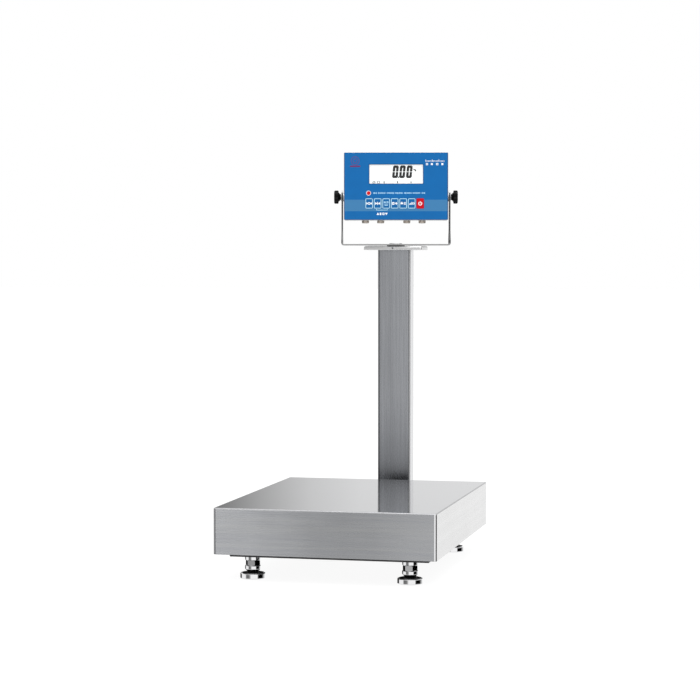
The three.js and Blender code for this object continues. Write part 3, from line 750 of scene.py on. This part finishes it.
def tray_loops(size, corner, edge, sheet, low, high):
    """An open box of bent sheet, mouth down: up the inside, over the rim and up the outside."""
    def ring(inset, radius, height):
        outline = rounded_rectangle(size.x - 2 * inset, size.y - 2 * inset, max(radius, 0.2 * MM), 8)
        return level(outline, height)
    inner_edge, lip, arc = max(edge - sheet, 0.5 * MM), sheet * 0.25, rounding(5)
    loops = []
    for down, across in reversed(arc):
        inset = sheet + inner_edge * across
        loops.append(ring(inset, corner - inset, high - sheet - inner_edge * down))
    for inset, height in ((sheet, low + lip), (sheet - lip, low), (lip, low), (0, low + lip)):
        loops.append(ring(inset, corner - inset, height))
    for down, across in arc:
        inset = edge * across
        loops.append(ring(inset, corner - inset, high - edge * down))
    return loops


def make_pan():
    pan = Box("pan")
    shape = Shape().loft(tray_loops(pan.size, 5 * MM, 3 * MM, 1.5 * MM, pan.bottom, pan.top))
    notch = slab(122 * MM, 30 * MM, 4 * MM, pan.bottom - 10 * MM, pan.bottom + 28 * MM)
    shape.cut(Shape().loft(notch, upright(0, pan.size.y / 2)))

    def finish(normal):
        """Front and back, sides, top, bends along the top and the left with a painted shade, and the right
        corners, smoother and with a painted highlight.
        """
        if abs(normal.z) > 0.2:
            return 2 if normal.z > 0.97 else 3
        if min(abs(normal.x), abs(normal.y)) > 0.09:
            return 4 if normal.x > 0 else 3
        return side_or_front(normal)
    shape.color_by(finish)
    materials = ["pan_x", "pan_y", "pan_top", "pan_bend_painted_shade", "pan_corner_painted_highlight"]
    shape.piece("pan_cover", materials, "pan", pan.place)


BOLT = {"flats": 13 * MM, "head": 5.3 * MM}


def make_column():
    column = Box("column")
    size, middle, wall = column.size, column.middle, 2 * MM

    def ring(inset, height):
        outline = rounded_rectangle(size.x - 2 * inset, size.y - 2 * inset, 6 * MM - inset, 10)
        return level(outline, height)
    shape = Shape().loft([ring(0, column.bottom), ring(0, column.top), ring(wall, column.top),
                          ring(wall, column.bottom)], ring=True)

    def finish(normal):
        """Front and back, sides, the bend at each end of the front with a painted shade, and the outer part
        of the right one with painted light.
        """
        if normal.y < -0.1 and abs(normal.x) > 0.1:
            return 3 if normal.x > 0.6 else 2
        return side_or_front(normal)
    shape.color_by(finish)
    shape.piece("column_tube", ["column", "column_side", "column_corner_painted_shade", "column_edge_painted_light"], "column",
                column.place)

    half_x, half_y, bend, foot = size.x / 2, size.y / 2, 6 * MM, column.bottom
    welds = Shape()
    for side in (-1, 1):
        y = middle.y + side * half_y
        seam(welds, (middle.x - half_x + bend, y, foot), (middle.x + half_x - bend, y, foot))
        x = middle.x + side * half_x
        seam(welds, (x, middle.y - half_y + bend, foot), (x, middle.y + half_y - bend, foot))
    welds.piece("column_weld", ["zinc"], "column", hides=False)

    flange = Box("column_base_flange")
    shape = Shape().loft(slab(flange.size.x, flange.size.y, 6 * MM, flange.bottom, flange.top, 0.5 * MM))
    bore = cylinder(12 * MM, flange.bottom - 10 * MM, flange.top + 10 * MM, 64)
    shape.cut(Shape().loft(bore))
    shape.piece("column_base_plate", ["zinc"], "column_base_flange", flange.place)
    for number in (1, 2):
        bolt = Box(f"column_bolt_{number}")
        head = bolt.top - BOLT["head"]
        shape = Shape().loft(hexagon_loops(BOLT["flats"], head, bolt.top))
        shape.loft(thread_loops(*M8, bolt.bottom, head + 0.2 * MM))
        shape.loft(ring_loops(8.5 * MM, 4.2 * MM, head - 0.2 * MM, head + 0.1 * MM))
        shape.piece(f"column_screw_{number}", ["zinc"], f"column_bolt_{number}", bolt.place)


def make_head_plate():
    plate = Box("head_plate")
    shape = Shape().loft(tray_loops(plate.size, 3 * MM, 3 * MM, 2.5 * MM, plate.bottom, plate.top))
    cutters = Shape()
    cutters.loft(cylinder(8.5 * MM, plate.bottom - 10 * MM, plate.top + 10 * MM, 64))
    cutters.loft(cylinder(2 * MM, -10 * MM, 10 * MM),
                 upright(0, -plate.size.y / 2, (plate.bottom + plate.top) / 2) @ FACING)
    shape.cut(cutters)
    # front and sides get the plate's two base colours: painted light and shade
    shape.color_by(side_or_front)
    shape.piece("head_plate_tray", ["plate", "plate_side"], "head_plate", plate.place)

    bolt = Box("swivel_bolt")
    disc, top, seat, foot = bolt.radius, bolt.top, bolt.top - 1.8 * MM, bolt.bottom
    profile = [(7.2 * MM, foot), (8 * MM, foot + 0.8 * MM), (8 * MM, seat), (disc - 0.4 * MM, seat),
               (disc, seat + 0.4 * MM), (disc, top - 0.9 * MM), (disc - 0.3 * MM, top - 0.3 * MM),
               (disc - 1 * MM, top), (disc - 3.6 * MM, top), (disc - 4 * MM, top - 0.3 * MM),
               (disc - 4.4 * MM, top)]
    Shape().loft(lathe_loops(profile)).piece("swivel_pin", ["bracket"], "swivel_bolt", plate.place)
    washer = Box("swivel_washer")
    shape = Shape().loft(ring_loops(washer.radius, 8.5 * MM, washer.bottom, washer.top), ring=True)
    shape.piece("swivel_bearing", ["knob"], "swivel_washer", plate.place)
    nut = Box("swivel_nut")
    shape = Shape().loft(hexagon_loops(24 * MM, nut.bottom, nut.top, 8.3 * MM), ring=True)
    shape.piece("swivel_lock_nut", ["zinc"], "swivel_nut", plate.place)


# ------------------------------------------------------------------ base and feet

# In millimetres; y is counted from the front of the pan.
BASE = {"bottom": 44.9, "top": 74.1, "wall": 2.5, "corner": 4, "half_length": 200, "half_cross": 25,
        "half_rail": 15, "rail_x": 100, "half_beam": 30, "beam_y": 355, "arm_x": 37.5, "half_arm": 17.5}
SPIDER = {"bottom": 119.1, "top": 139.1, "wall": 2, "corner": 3, "half_rail": 12.5, "rail_x": 150,
          "front": 70, "rear": 530, "crosses": (112.5, 487.5), "beam_y": 245, "half_beam": 28}
FOOT_Y = (61.8, 532.4)
SEAT = {"half_x": 57.5, "half_y": 42.5, "thick": 6, "half_bead": 14}
OVERLAP = 1
PAN_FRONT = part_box("pan")[0].y


def span(middle, half, shift=0.0):
    """From half before to half after a middle, given in millimetres."""
    return (middle - half) * MM + shift, (middle + half) * MM + shift


class Frame:
    """A welded frame of rectangular tubes."""

    def __init__(self, sizes):
        self.shape = Shape()
        self.z_span = sizes["bottom"] * MM, sizes["top"] * MM
        self.middle_z = sum(self.z_span) / 2
        self.wall, self.corner = sizes["wall"] * MM, sizes["corner"] * MM

    def tube(self, x_span, y_span, along):
        tube(self.shape, x_span, y_span, self.z_span, self.wall, self.corner, along)

    def bead_across(self, x_span, y, z):
        seam(self.shape, (x_span[0], y, z), (x_span[1], y, z))


def make_base():
    b = BASE
    base = Frame(b)
    shape, height = base.shape, base.z_span
    for y in FOOT_Y:
        base.tube(span(0, b["half_length"]), span(y, b["half_cross"], PAN_FRONT), "X")
    bores = Shape()
    for number in range(1, 5):
        bores.loft(cylinder(8.4 * MM, 30 * MM, 66 * MM), Box(f"foot_stud_{number}").place)
    shape.cut(bores)
    front, rear = FOOT_Y[0] + b["half_cross"], FOOT_Y[1] - b["half_cross"]
    inner = (front - OVERLAP) * MM + PAN_FRONT, (rear + OVERLAP) * MM + PAN_FRONT
    seat_y = swivel_axis.y + SEAT["half_y"] * MM
    arm_start = PAN_FRONT + (FOOT_Y[1] + b["half_cross"] - OVERLAP) * MM
    rails = [span(side * b["rail_x"], b["half_rail"]) for side in (-1, 1)]
    arms = [span(side * b["arm_x"], b["half_arm"]) for side in (-1, 1)]
    for rail, arm in zip(rails, arms):
        base.tube(rail, inner, "Y")
        base.tube(arm, (arm_start, seat_y), "Y")
    beam = span(b["beam_y"], b["half_beam"], PAN_FRONT)
    reach = b["rail_x"] - b["half_rail"]
    base.tube(span(0, reach + OVERLAP), beam, "X")
    seat = slab(2 * SEAT["half_x"] * MM, 2 * SEAT["half_y"] * MM, 4 * MM, height[1],
                height[1] + SEAT["thick"] * MM, 0.5 * MM)
    shape.loft(seat, upright(swivel_axis.x, swivel_axis.y))
    # beads where the tubes meet, above and below
    for z in height:
        for y in (front, rear):
            for rail in rails:
                base.bead_across(rail, PAN_FRONT + y * MM, z)
        for side, arm in zip((-1, 1), arms):
            base.bead_across(arm, arm_start + OVERLAP * MM, z)
            seam(shape, (side * reach * MM, beam[0], z), (side * reach * MM, beam[1], z))
    for side in (-1, 1):
        y = swivel_axis.y + side * (SEAT["half_y"] - 1) * MM
        for arm_side in (-1, 1):
            base.bead_across(span(arm_side * b["arm_x"], SEAT["half_bead"]), y, height[1])
    # the frame's near-black colour is dark paint and painted shade
    shape.piece("base_tubes", ["frame_paint_and_shade"], "base_frame", bevel=0.4 * MM)

    plugs = Shape()
    tall, wide = (b["top"] - b["bottom"]) * MM, 2 * b["half_cross"] * MM
    cap, stem, gap, outer = 2 * MM, 12 * MM, 0.2 * MM, b["half_length"] * MM
    inside = 2 * base.wall + gap
    for y in FOOT_Y:
        for side in (-1, 1):
            place = upright(0, PAN_FRONT + y * MM, base.middle_z) @ sideways(side)
            plugs.loft(slab(tall, wide, base.corner, outer, outer + cap, 0.8 * MM, edge_low=0), place)
            plugs.loft(slab(tall - inside, wide - inside, base.corner - base.wall, outer - stem,
                            outer + 2 * gap), place)
    for side in (-1, 1):
        place = upright(side * b["arm_x"] * MM, 0, base.middle_z) @ FACING.inverted()
        plugs.loft(slab(2 * b["half_arm"] * MM, tall, base.corner, seat_y, seat_y + cap, 0.8 * MM,
                        edge_low=0), place)
    plugs.piece("tube_plugs", ["knob"], "base_frame", slot="black_plastic")


def make_top_frame():
    s = SPIDER
    spider = Frame(s)
    for side in (-1, 1):
        spider.tube(span(side * s["rail_x"], s["half_rail"]),
                    (s["front"] * MM + PAN_FRONT, s["rear"] * MM + PAN_FRONT), "Y")
    reach = s["rail_x"] - s["half_rail"]
    crosses = [(y, s["half_rail"]) for y in s["crosses"]] + [(s["beam_y"], s["half_beam"])]
    for y, half in crosses:
        y_span = span(y, half, PAN_FRONT)
        spider.tube(span(0, reach + OVERLAP), y_span, "X")
        for x in (-reach * MM, reach * MM):
            for z in spider.z_span:
                seam(spider.shape, (x, y_span[0], z), (x, y_span[1], z), 1.8 * MM)
    spider.shape.piece("spider_tubes", ["frame_paint_and_shade"], "top_frame", bevel=0.4 * MM)
    plugs = Shape()
    thick, tall = 1.5 * MM, spider.z_span[1] - spider.z_span[0]
    for side in (-1, 1):
        place = upright(side * s["rail_x"] * MM, 0, spider.middle_z) @ FACING
        for end, beyond in ((s["front"], 0), (s["rear"], thick)):
            low = -(PAN_FRONT + end * MM) - beyond
            plugs.loft(slab(2 * s["half_rail"] * MM, tall, spider.corner, low, low + thick, 0.5 * MM),
                       place)
    plugs.piece("spider_plugs", ["knob"], "top_frame", slot="black_plastic")


# Turned profiles of a foot: radius and height above the floor, in millimetres.
FOOT_RIM = ((22.6, 0.8), (23.4, 0.3), (24.4, 0.4), (25.0, 1.1), (25.2, 2.2), (25.2, 9.4), (25.05, 10.3),
            (24.6, 11.0), (23.7, 11.6), (22.4, 12.0), (16, 13.5), (11.6, 14.5), (10.4, 14.9), (9.5, 14.9),
            (8.8, 14.3), (8.5, 13.0), (8.3, 10.4))
FOOT_SOLE = ((21.4, 0.02), (22.3, 0.3), (22.3, 1.2))
FOOT_COLLAR = ((5.0, 10.5), (7.2, 11.3), (7.6, 12.2), (7.6, 15.6), (11.2, 15.5), (12.2, 15.8),
               (15.2, 18.4), (15.7, 19.2), (15.8, 19.9), (15.8, 25.2), (15.6, 25.8), (15.1, 26.2),
               (14.4, 26.3))
STUD = {"flats": 25.5 * MM, "collar_top": 26.1 * MM, "hexagon_top": 37 * MM, "top": 66 * MM}


def make_feet():
    # The dome of each steel disc, inside 22 mm, takes the black plastic colour: a painted dark reflection of
    # the frame above it; the rim keeps the polished steel.
    dome_painted_reflection_bands = [0 if radius > 22 else 1 for radius, _height in FOOT_RIM[1:]]
    for i in range(1, 5):
        place = Box(f"foot_pad_{i}").place
        shape = Shape().loft(lathe_loops(FOOT_RIM, 96, MM), bands=dome_painted_reflection_bands)
        shape.piece(f"foot_disc_{i}", ["polished", "knob"], f"foot_pad_{i}", place)
        shape = Shape().loft(lathe_loops(FOOT_SOLE, 64, MM))
        shape.piece(f"foot_sole_{i}", ["rubber"], f"foot_pad_{i}", place, slot="rubber")
        shape = Shape().loft(lathe_loops(FOOT_COLLAR, 96, MM))
        shape.loft(hexagon_loops(STUD["flats"], STUD["collar_top"], STUD["hexagon_top"]))
        shape.loft(thread_loops(*M16, STUD["hexagon_top"] - 0.2 * MM, STUD["top"], 48, 10))
        shape.piece(f"foot_screw_{i}", ["polished"], f"foot_stud_{i}", place)
        nut = Box(f"lock_nut_{i}")
        loops = ring_loops(15.5 * MM, 8.4 * MM, nut.bottom, nut.top, 0.6 * MM, 96)
        Shape().loft(loops, ring=True).piece(f"foot_nut_{i}", ["polished"], f"lock_nut_{i}", place)


def turned_cup(box, chamfer, edge, count, hollow):
    """A round cup that fills a box. hollow: the profile from the rim inwards, in metres."""
    r, low, high = box.radius, box.bottom, box.top
    outside = [(r - 0.4 * MM, low), (r, low + 0.4 * MM), (r, high - chamfer), (r - edge, high - edge),
               (r - chamfer, high)]
    return Shape().loft(lathe_loops(outside + hollow, count))


def make_small_base_parts():
    for i in range(1, 5):
        box = Box(f"pan_pad_{i}")
        hollow = [(box.radius * 0.4, box.top), (box.radius * 0.35, box.top - 0.8 * MM)]
        shape = turned_cup(box, 1.2 * MM, 0.4 * MM, 40, hollow)
        shape.piece(f"pan_rest_{i}", ["rubber"], f"pan_pad_{i}", box.place)
    cup = Box("level_cup")
    hollow = [(10.2 * MM, cup.top), (10 * MM, cup.top - 0.2 * MM), (10 * MM, cup.bottom + 2 * MM)]
    turned_cup(cup, 1 * MM, 0.3 * MM, 48, hollow).piece("level_ring", ["knob"], "level_cup", cup.place)
    vial = Box("level_vial")
    r, top = vial.radius, vial.top - 0.9 * MM
    glass = [(r, vial.bottom), (r, top - 1.2 * MM), (r - 1 * MM, top - 0.2 * MM), (r - 4 * MM, top)]
    shape = Shape().loft(lathe_loops(glass, 48))
    bubble = ((1.2, 0), (2.2, 0.2), (2.4, 0.4), (1.9, 0.6), (0.8, 0.7))
    shape.loft(lathe_loops(bubble, 24, MM), upright(0.6 * MM, -0.4 * MM, top), material=1)
    mark = ring_loops(3.6 * MM, 3.3 * MM, top, top + 0.1 * MM, 0.02 * MM, 36)
    shape.loft(mark, ring=True, material=2)
    shape.piece("level_glass", ["fluid", "white", "black"], "level_vial", cup.place)


# ------------------------------------------------------------------ bracket and knobs

ARM = {"sheet": 3 * MM, "bend": 5 * MM, "half_depth": 21 * MM, "corner": 15 * MM, "shoulder": 0.6816,
       "waist": 0.7056, "steps": 10, "bend_steps": 8}
HOLES = {"swivel": 8.5 * MM, "plate": 2.6 * MM, "plate_x": 66 * MM, "plate_inset": 9 * MM,
         "pivot": 3.4 * MM, "arm": 2.4 * MM, "arm_drop": 21 * MM}


def make_bracket():
    box = HeadBox("bracket")
    half_width, half_depth = box.size.x / 2, (box.high.y - box.low.y) / 2
    bottom, top = box.low.z, box.high.z
    sheet, bend, half_arm, corner = ARM["sheet"], ARM["bend"], ARM["half_depth"], ARM["corner"]
    shoulder, waist = ARM["shoulder"], ARM["waist"]

    def half_at(z):
        """Half the arm's depth at a height."""
        if top - z < corner:
            return half_arm - corner + math.sqrt(max(0.0, corner ** 2 - (corner - (top - z)) ** 2))
        share = (z - shoulder) / (waist - shoulder)
        return half_depth + (half_arm - half_depth) * min(1.0, max(0.0, share))

    def station(outer, inner, half):
        return [Vector((outer.x, -half, outer.y)), Vector((outer.x, half, outer.y)),
                Vector((inner.x, half, inner.y)), Vector((inner.x, -half, inner.y))]

    heights = [top - corner * down for _across, down in rounding(ARM["steps"])]
    heights += [waist, shoulder, bottom + bend]
    arm = [(Vector((half_width, z)), Vector((half_width - sheet, z)), half_at(z)) for z in heights]
    centre = Vector((half_width - bend, bottom + bend))
    for step in range(1, ARM["bend_steps"] + 1):
        out = polar(1, -step / ARM["bend_steps"] * math.pi / 2)
        arm.append((centre + out * bend, centre + out * (bend - sheet), half_depth))
    mirrored = [(Vector((-o.x, o.y)), Vector((-i.x, i.y)), half) for o, i, half in reversed(arm)]
    shape = Shape().loft([station(*row) for row in arm + mirrored])
    through_plate = bottom - 10 * MM, bottom + 20 * MM
    through_arm = half_width - 10 * MM, half_width + 10 * MM
    cutters = Shape().loft(cylinder(HOLES["swivel"], *through_plate, 64))
    for side in (-1, 1):
        cutters.loft(cylinder(HOLES["plate"], *through_plate),
                     upright(side * HOLES["plate_x"], half_depth - HOLES["plate_inset"]))
        for hole, drop in (("pivot", 0), ("arm", HOLES["arm_drop"])):
            cutters.loft(cylinder(HOLES[hole], *through_arm), upright(0, 0, PIVOT_Z - drop) @ sideways(side))
    shape.cut(cutters)
    # the arms get a darker copy of the steel: painted shade
    shape.color_by(lambda normal: 0 if abs(normal.z) > 0.7 else 1)
    for face in shape.bm.faces:
        if face.calc_center_median().z > bottom + bend and abs(face.normal.y) > 0.7:
            face.material_index = 2
    shape.piece("u_bracket", ["bracket", "bracket_arm_painted_shade", "cut_edge"], "bracket", HEAD, bevel=0.4 * MM)


# Profiles of a star knob, in millimetres: how far each outline lies inside the lobes' tips, or a
# radius, and how far it lies from the middle of the head.
KNOB_LOBES = ((2.6, 129.9), (1.2, 130.1), (0.4, 130.7), (0, 131.6), (0, 137.4), (0.25, 138.4),
              (0.9, 139.3), (2.0, 139.9), (3.2, 140.0), (5.2, 140.0), (5.8, 139.5), (6.3, 139.4))
KNOB_HUB = ((6.6, 124.8), (7, 125.2), (7, 126.2), (7.8, 127.2), (9.2, 128.4), (10.8, 130.2), (11, 131))
KNOB_CAP = ((6.2, 139.2), (6.2, 139.7), (5.8, 139.95), (4, 140.0))
KNOB = {"radius": 15 * MM, "valley": 3 * MM, "lobes": 6}
KNOB_SCREW = (105 * MM, 125.2 * MM)
KNOB_WASHER = {"outer": 8.5 * MM, "inner": 3.4 * MM, "low": 123.3 * MM, "high": 124.5 * MM}


def make_knobs():
    for word, side in (("left", -1), ("right", 1)):
        place = HEAD @ upright(0, 0, PIVOT_Z) @ sideways(side)
        shape = Shape().loft([level(lobed(inset * MM, **KNOB), out * MM)
                              for inset, out in KNOB_LOBES])
        shape.loft(lathe_loops(KNOB_HUB, 48, MM))
        shape.loft(lathe_loops(KNOB_CAP, 40, MM))
        shape.loft(thread_loops(*M6, *KNOB_SCREW, 24), material=1)
        shape.piece(f"star_knob_{word}", ["knob", "zinc"], f"knob_{word}", place)
        shape = Shape().loft(ring_loops(**KNOB_WASHER), ring=True)
        shape.piece(f"star_knob_washer_{word}", ["zinc"], f"knob_washer_{word}", place)


# ------------------------------------------------------------------ indicator

HOUSING_BOSS = ((10, 109.3), (10, 118.9), (9.6, 119.5), (9, 119.7), (3.6, 119.7), (3.4, 119.4),
                (3.4, 109.3))
BACK_SCREW = ((3.4, 0), (3.4, 0.5), (3.1, 1.2), (2.4, 1.7), (1.2, 1.95))
GLAND_NUT = ((1.6, 0), (0.7, 0.35), (0.2, 1.0), (0, 1.8), (0, 3.9))


def front_cutters(clearance):
    """The display window and the key wells, cut through any front layer."""
    cutters = Shape()
    wells = [(WINDOW, 2 * clearance, 1.5 * MM)] + [(key, 0.6 * MM, 2.2 * MM) for key in KEYS]
    for box, growth, corner in wells:
        loops = slab(box.size.x + growth, box.size.y + growth, corner, 20 * MM, 50 * MM, corner_steps=4)
        cutters.loft(loops, box.place)
    return cutters


def make_housing():
    housing, cover = HeadBox("indicator_housing"), HeadBox("rear_cover")
    front, back, size = housing.front, housing.back, cover.size
    wall, lip, corner, edge, chamfer = 1.5 * MM, 8 * MM, 3 * MM, 0.9 * MM, 0.3 * MM

    def ring(inset, height, radius=None):
        radius = max(corner - inset if radius is None else radius, 0.5 * MM)
        return level(rounded_rectangle(size.x - 2 * inset, size.y - 2 * inset, radius), height)
    loops = [ring(wall, front - wall), ring(wall, back + wall), ring(lip, back + wall, 2 * MM),
             ring(lip, back, 2 * MM), ring(chamfer, back), ring(0, back + chamfer)]
    loops += [ring(edge * across, front - edge * down) for down, across in rounding(4)]
    shape = Shape().loft(loops, cover.place)
    shape.cut(front_cutters(-0.7 * MM))
    bores = Shape()
    for number in range(1, 5):
        place = upright(HeadBox(f"cable_gland_{number}").centre.x, cover.low.z)
        bores.loft(cylinder(6.4 * MM, -5 * MM, 5 * MM), place @ Matrix.Rotation(math.pi / 2, 4, "X"))
    shape.cut(bores)
    shape.color_by(side_or_front)
    for side in (-1, 1):
        shape.loft(lathe_loops(HOUSING_BOSS, 48, MM), upright(0, PIVOT_Z) @ sideways(side), ring=True)
    shape.piece("housing_shell", ["housing", "housing_side"], "indicator_housing", FRONT)

    shape = cover.filled(corner, 0.2 * MM, edge_low=0.6 * MM)
    shape.piece("housing_back", ["housing"], "rear_cover", FRONT)
    rear_face = HEAD @ upright(0, cover.high.y) @ Matrix.Rotation(math.pi, 4, "Z") @ FACING
    reach = size / 2 - Vector((5.5, 5.5)) * MM
    spots = [upright(-cover.centre.x + sx * reach.x, cover.centre.y + sz * reach.y)
             for sx in (-1, 0, 1) for sz in (-1, 0, 1) if sx or sz]
    screws = Shape()
    for spot in spots:
        screws.loft(lathe_loops(BACK_SCREW, 32, MM), spot)
    cross_recesses(screws, spots, 2 * MM)
    screws.piece("back_screws", ["zinc"], "rear_cover", rear_face, slot="zinc_steel", hides=False)

    gasket = HeadBox("gasket")
    outer = rounded_rectangle(*gasket.size, 2 * MM)
    inner = rounded_rectangle(gasket.size.x - 13 * MM, gasket.size.y - 13 * MM, 2 * MM)
    loops = [level(outer, gasket.back), level(outer, gasket.front), level(inner, gasket.front),
             level(inner, gasket.back)]
    Shape().loft(loops, gasket.place, ring=True).piece("housing_gasket", ["rubber"], "gasket", FRONT)


def ribbed(radius, height, ribs, count=144):
    """A circle, or with a number of ribs a gripping edge."""
    loop = []
    for i in range(count):
        angle = 2 * math.pi * i / count
        groove = 0.35 * MM * (0.5 - 0.5 * math.cos(ribs * angle)) if ribs else 0
        loop.append(polar(radius - groove, angle, height))
    return loop


def make_glands():
    top = HeadBox("indicator_housing").low.z - 0.3 * MM
    for number in range(1, 5):
        node = f"cable_gland_{number}"
        gland = HeadBox(node)
        bottom = gland.low.z
        shape = Shape().loft(hexagon_loops(14.6 * MM, top - 2.2 * MM, top))
        nut = [ribbed((8 - inset) * MM, bottom + up * MM, 24 if inset < 1.5 else 0)
               for inset, up in GLAND_NUT]
        bore = lathe_loops([(5.5 * MM, bottom + 3.9 * MM), (4.6 * MM, bottom)], 144)
        shape.loft(nut + bore, ring=True)
        shape.loft(cylinder(4.9 * MM, bottom + 1.4 * MM, bottom + 3.9 * MM), material=1)
        shape.loft(thread_loops(*M12, top - 0.5 * MM, gland.high.z))
        shape.piece(f"gland_{number}", ["nickel", "rubber"], node, HEAD @ upright(gland.centre.x, 0))


def make_display():
    shape = FILM.filled(2 * MM, 0.15 * MM, steps=2)
    shape.cut(front_cutters(0))
    print_face(shape, FILM.front)
    shape.piece("front_film", ["film", "white", "pale", "faint", "red", "painted_window_shadow"], "keypad_overlay", FRONT)
    WINDOW.filled(1.3 * MM, 0.2 * MM).piece("display_window", ["clear"], "display_lens", FRONT)
    module = HeadBox("lcd_module")
    shape = module.filled(1 * MM, 0.2 * MM)
    print_reading(Signs(shape, module.front, 1), WINDOW.high.z / MM, module.centre.x / MM)
    shape.piece("display_glass", ["lcd", "black"], "lcd_module", FRONT)


def print_reading(signs, top, middle):
    """The nought reading 0.00 and the small signs under it."""
    width, height, stroke, lean, pitch = 13.1, 28.4, 5.6, 0.09, 15.6
    left, bottom = middle - 9.4, top - 30.4
    for i in range(3):
        zero(signs, left + i * pitch, bottom, width, height, stroke, lean)
    signs.bar(left + width + 1.4, bottom + 1.6, 2.6, 3.2)
    signs.bar(middle + 41.0, bottom + 19.4, 4.8, 2.2, -1.2)
    signs.disc(middle + 43.2, bottom + 16.8, 1.7)
    row = top - 39.6
    signs.frame(middle - 50, row, 6.4, 4.4, 1.4, 1.2)
    signs.ring(middle - 39.6, row, 3.3, 1.2)
    for x, tall in ((-27.2, 5), (3, 4.4), (33.4, 4.0)):
        signs.bar(middle + x, row, 2.2, tall)


def print_face(shape, height):
    """Everything printed on the film round the keys and the window, and a painted shadow round the window.
    """
    white, pale, faint, red, painted_window_shadow = (Signs(shape, height, material) for material in range(1, 6))
    # a painted shadow round the window: a dark line that makes it look recessed
    border = 1.3
    centre, size = WINDOW.centre / MM, WINDOW.size / MM
    painted_window_shadow.frame(*centre, size.x + 2 * border, size.y + 2 * border, 2, border - 0.2)
    top = FILM.high.z / MM
    # a ruler over four squares, top right
    for i in range(15):
        tall = 4.6 if i % 5 == 0 else 3.0
        white.bar(67 + i * 2.9, top - 18.6 - (4.6 - tall) / 2, 1.2, tall)
    for i, x in enumerate((69.5, 80.5, 92.5, 104)):
        if i % 2:
            white.bar(x, top - 26.2, 4.4, 4.4)
        else:
            white.frame(x, top - 26.2, 4.8, 4.8, 1, 1.3)
    # a faint seal, top left
    faint.ring(-92, top - 18.5, 9.5, 1.0)
    faint.ring(-92, top - 18.5, 4.6, 0.9)
    faint.bar(-92, top - 31, 23, 3.2)
    # a dot and a fine scale line over the keys
    row = top - 91.2
    white.ring(-61.6, row, 5.4, 0.9)
    red.disc(-61.6, row, 4.4)
    for i in range(54):
        if i % 9 != 4:
            pale.bar(-50.6 + i * 2.17, row + 0.2, 1.15, (2.6, 3.6, 2.2, 3.2)[i % 4])
    # a bracket joining keys 2 and 3, with up and down signs below it
    key_low = KEYS[0].low.z / MM
    middle = (KEYS[1].centre.x + KEYS[2].centre.x) / 2 / MM
    for x in (middle - 12, middle + 12):
        pale.bar(x, key_low - 2.0, 0.9, 3.0)
    pale.bar(middle, key_low - 3.6, 24.9, 0.9)
    row = key_low - 12
    white.triangle(middle - 9, row - 0.5, 3.6, 90)
    white.bar(middle - 3, row, 3.6, 5.4)
    white.frame(middle + 3.6, row, 4.6, 5.4, 0.8, 1.4)
    white.triangle(middle + 10, row + 0.5, 3.6, -90)


def key_signs(signs, pale, index, x, z):
    """A white pictogram for each key."""
    if index == 1:  # zero
        signs.triangle(x - 4.8, z, 3.0, 0)
        signs.ring(x, z, 3.0, 1.5)
        signs.triangle(x + 4.8, z, 3.0, 180)
    elif index == 2:  # tare
        signs.triangle(x - 4.0, z, 3.4, 0)
        signs.bar(x, z, 1.6, 6.6)
        signs.triangle(x + 4.0, z, 3.4, 180)
    elif index == 3:  # memory, with a second line
        pale.bar(x - 3, z + 2.9, 4.4, 2.4)
        pale.frame(x + 3, z + 2.9, 4.4, 3.2, 0.6, 1.0)
        pale.bar(x, z - 1.2, 9.6, 0.8)
        pale.bar(x, z - 4.0, 7.2, 1.4)
    elif index == 4:  # total
        signs.frame(x - 3.3, z, 5.4, 5.8, 0.8, 1.7)
        signs.bar(x + 3.5, z, 5.2, 1.8)
        signs.bar(x + 3.5, z, 1.8, 5.4)
    elif index == 5:  # print
        signs.bar(x - 3.2, z, 5.2, 3.4)
        signs.bar(x - 3.2, z + 2.7, 3.2, 1.2)
        for step in (-2.3, 0, 2.3):
            signs.bar(x + 3.5, z + step, 4.6, 1.2)
    elif index == 6:  # count
        for step, tall in ((-4.6, 2.6), (-2.0, 4.2), (0.6, 5.8)):
            signs.bar(x + step, z + tall / 2 - 2.9, 1.7, tall)
        signs.ring(x + 4.4, z, 2.4, 1.1)
    else:  # power
        signs.arc(x, z - 0.3, 4.4, 1.6, 125, 415)
        signs.bar(x, z + 2.4, 1.6, 4.8)


def make_keys():
    last = len(KEYS)
    for i, key in enumerate(KEYS, 1):
        shape = key.filled(2 * MM, 0.25 * MM, edge_low=0)
        signs, pale = (Signs(shape, key.front, material) for material in (1, 2))
        centre, size = key.centre / MM, key.size / MM
        if i < last:
            pale.frame(*centre, size.x - 0.4, size.y - 0.4, 2.2, 1.25)
        key_signs(signs, pale, i, *centre)
        color = "key" if i < last else "key_red"
        shape.piece(f"key_cap_{i}", [color, "white", "pale"], f"key_{i}", FRONT)


# ------------------------------------------------------------------ CAD nodes carried over

CARRIED = {
    "load_cell": "aluminium", "cell_spacer_lower": "zinc", "cell_spacer_upper": "zinc",
    "cell_bolt_base_1": "zinc", "cell_bolt_base_2": "zinc", "cell_bolt_top_1": "zinc",
    "cell_bolt_top_2": "zinc", "main_board": "board", "battery": "knob",
}


def dress_carried_nodes():
    for name, key in CARRIED.items():
        node = frame["nodes"][name]
        node.data.materials.clear()
        node.data.materials.append(MATERIALS[key])
        bevelled(node, 0.4 * MM, 50)


make_pan()
make_column()
make_head_plate()
make_base()
make_top_frame()
make_feet()
make_small_base_parts()
make_bracket()
make_knobs()
make_housing()
make_glands()
make_display()
make_keys()
dress_carried_nodes()
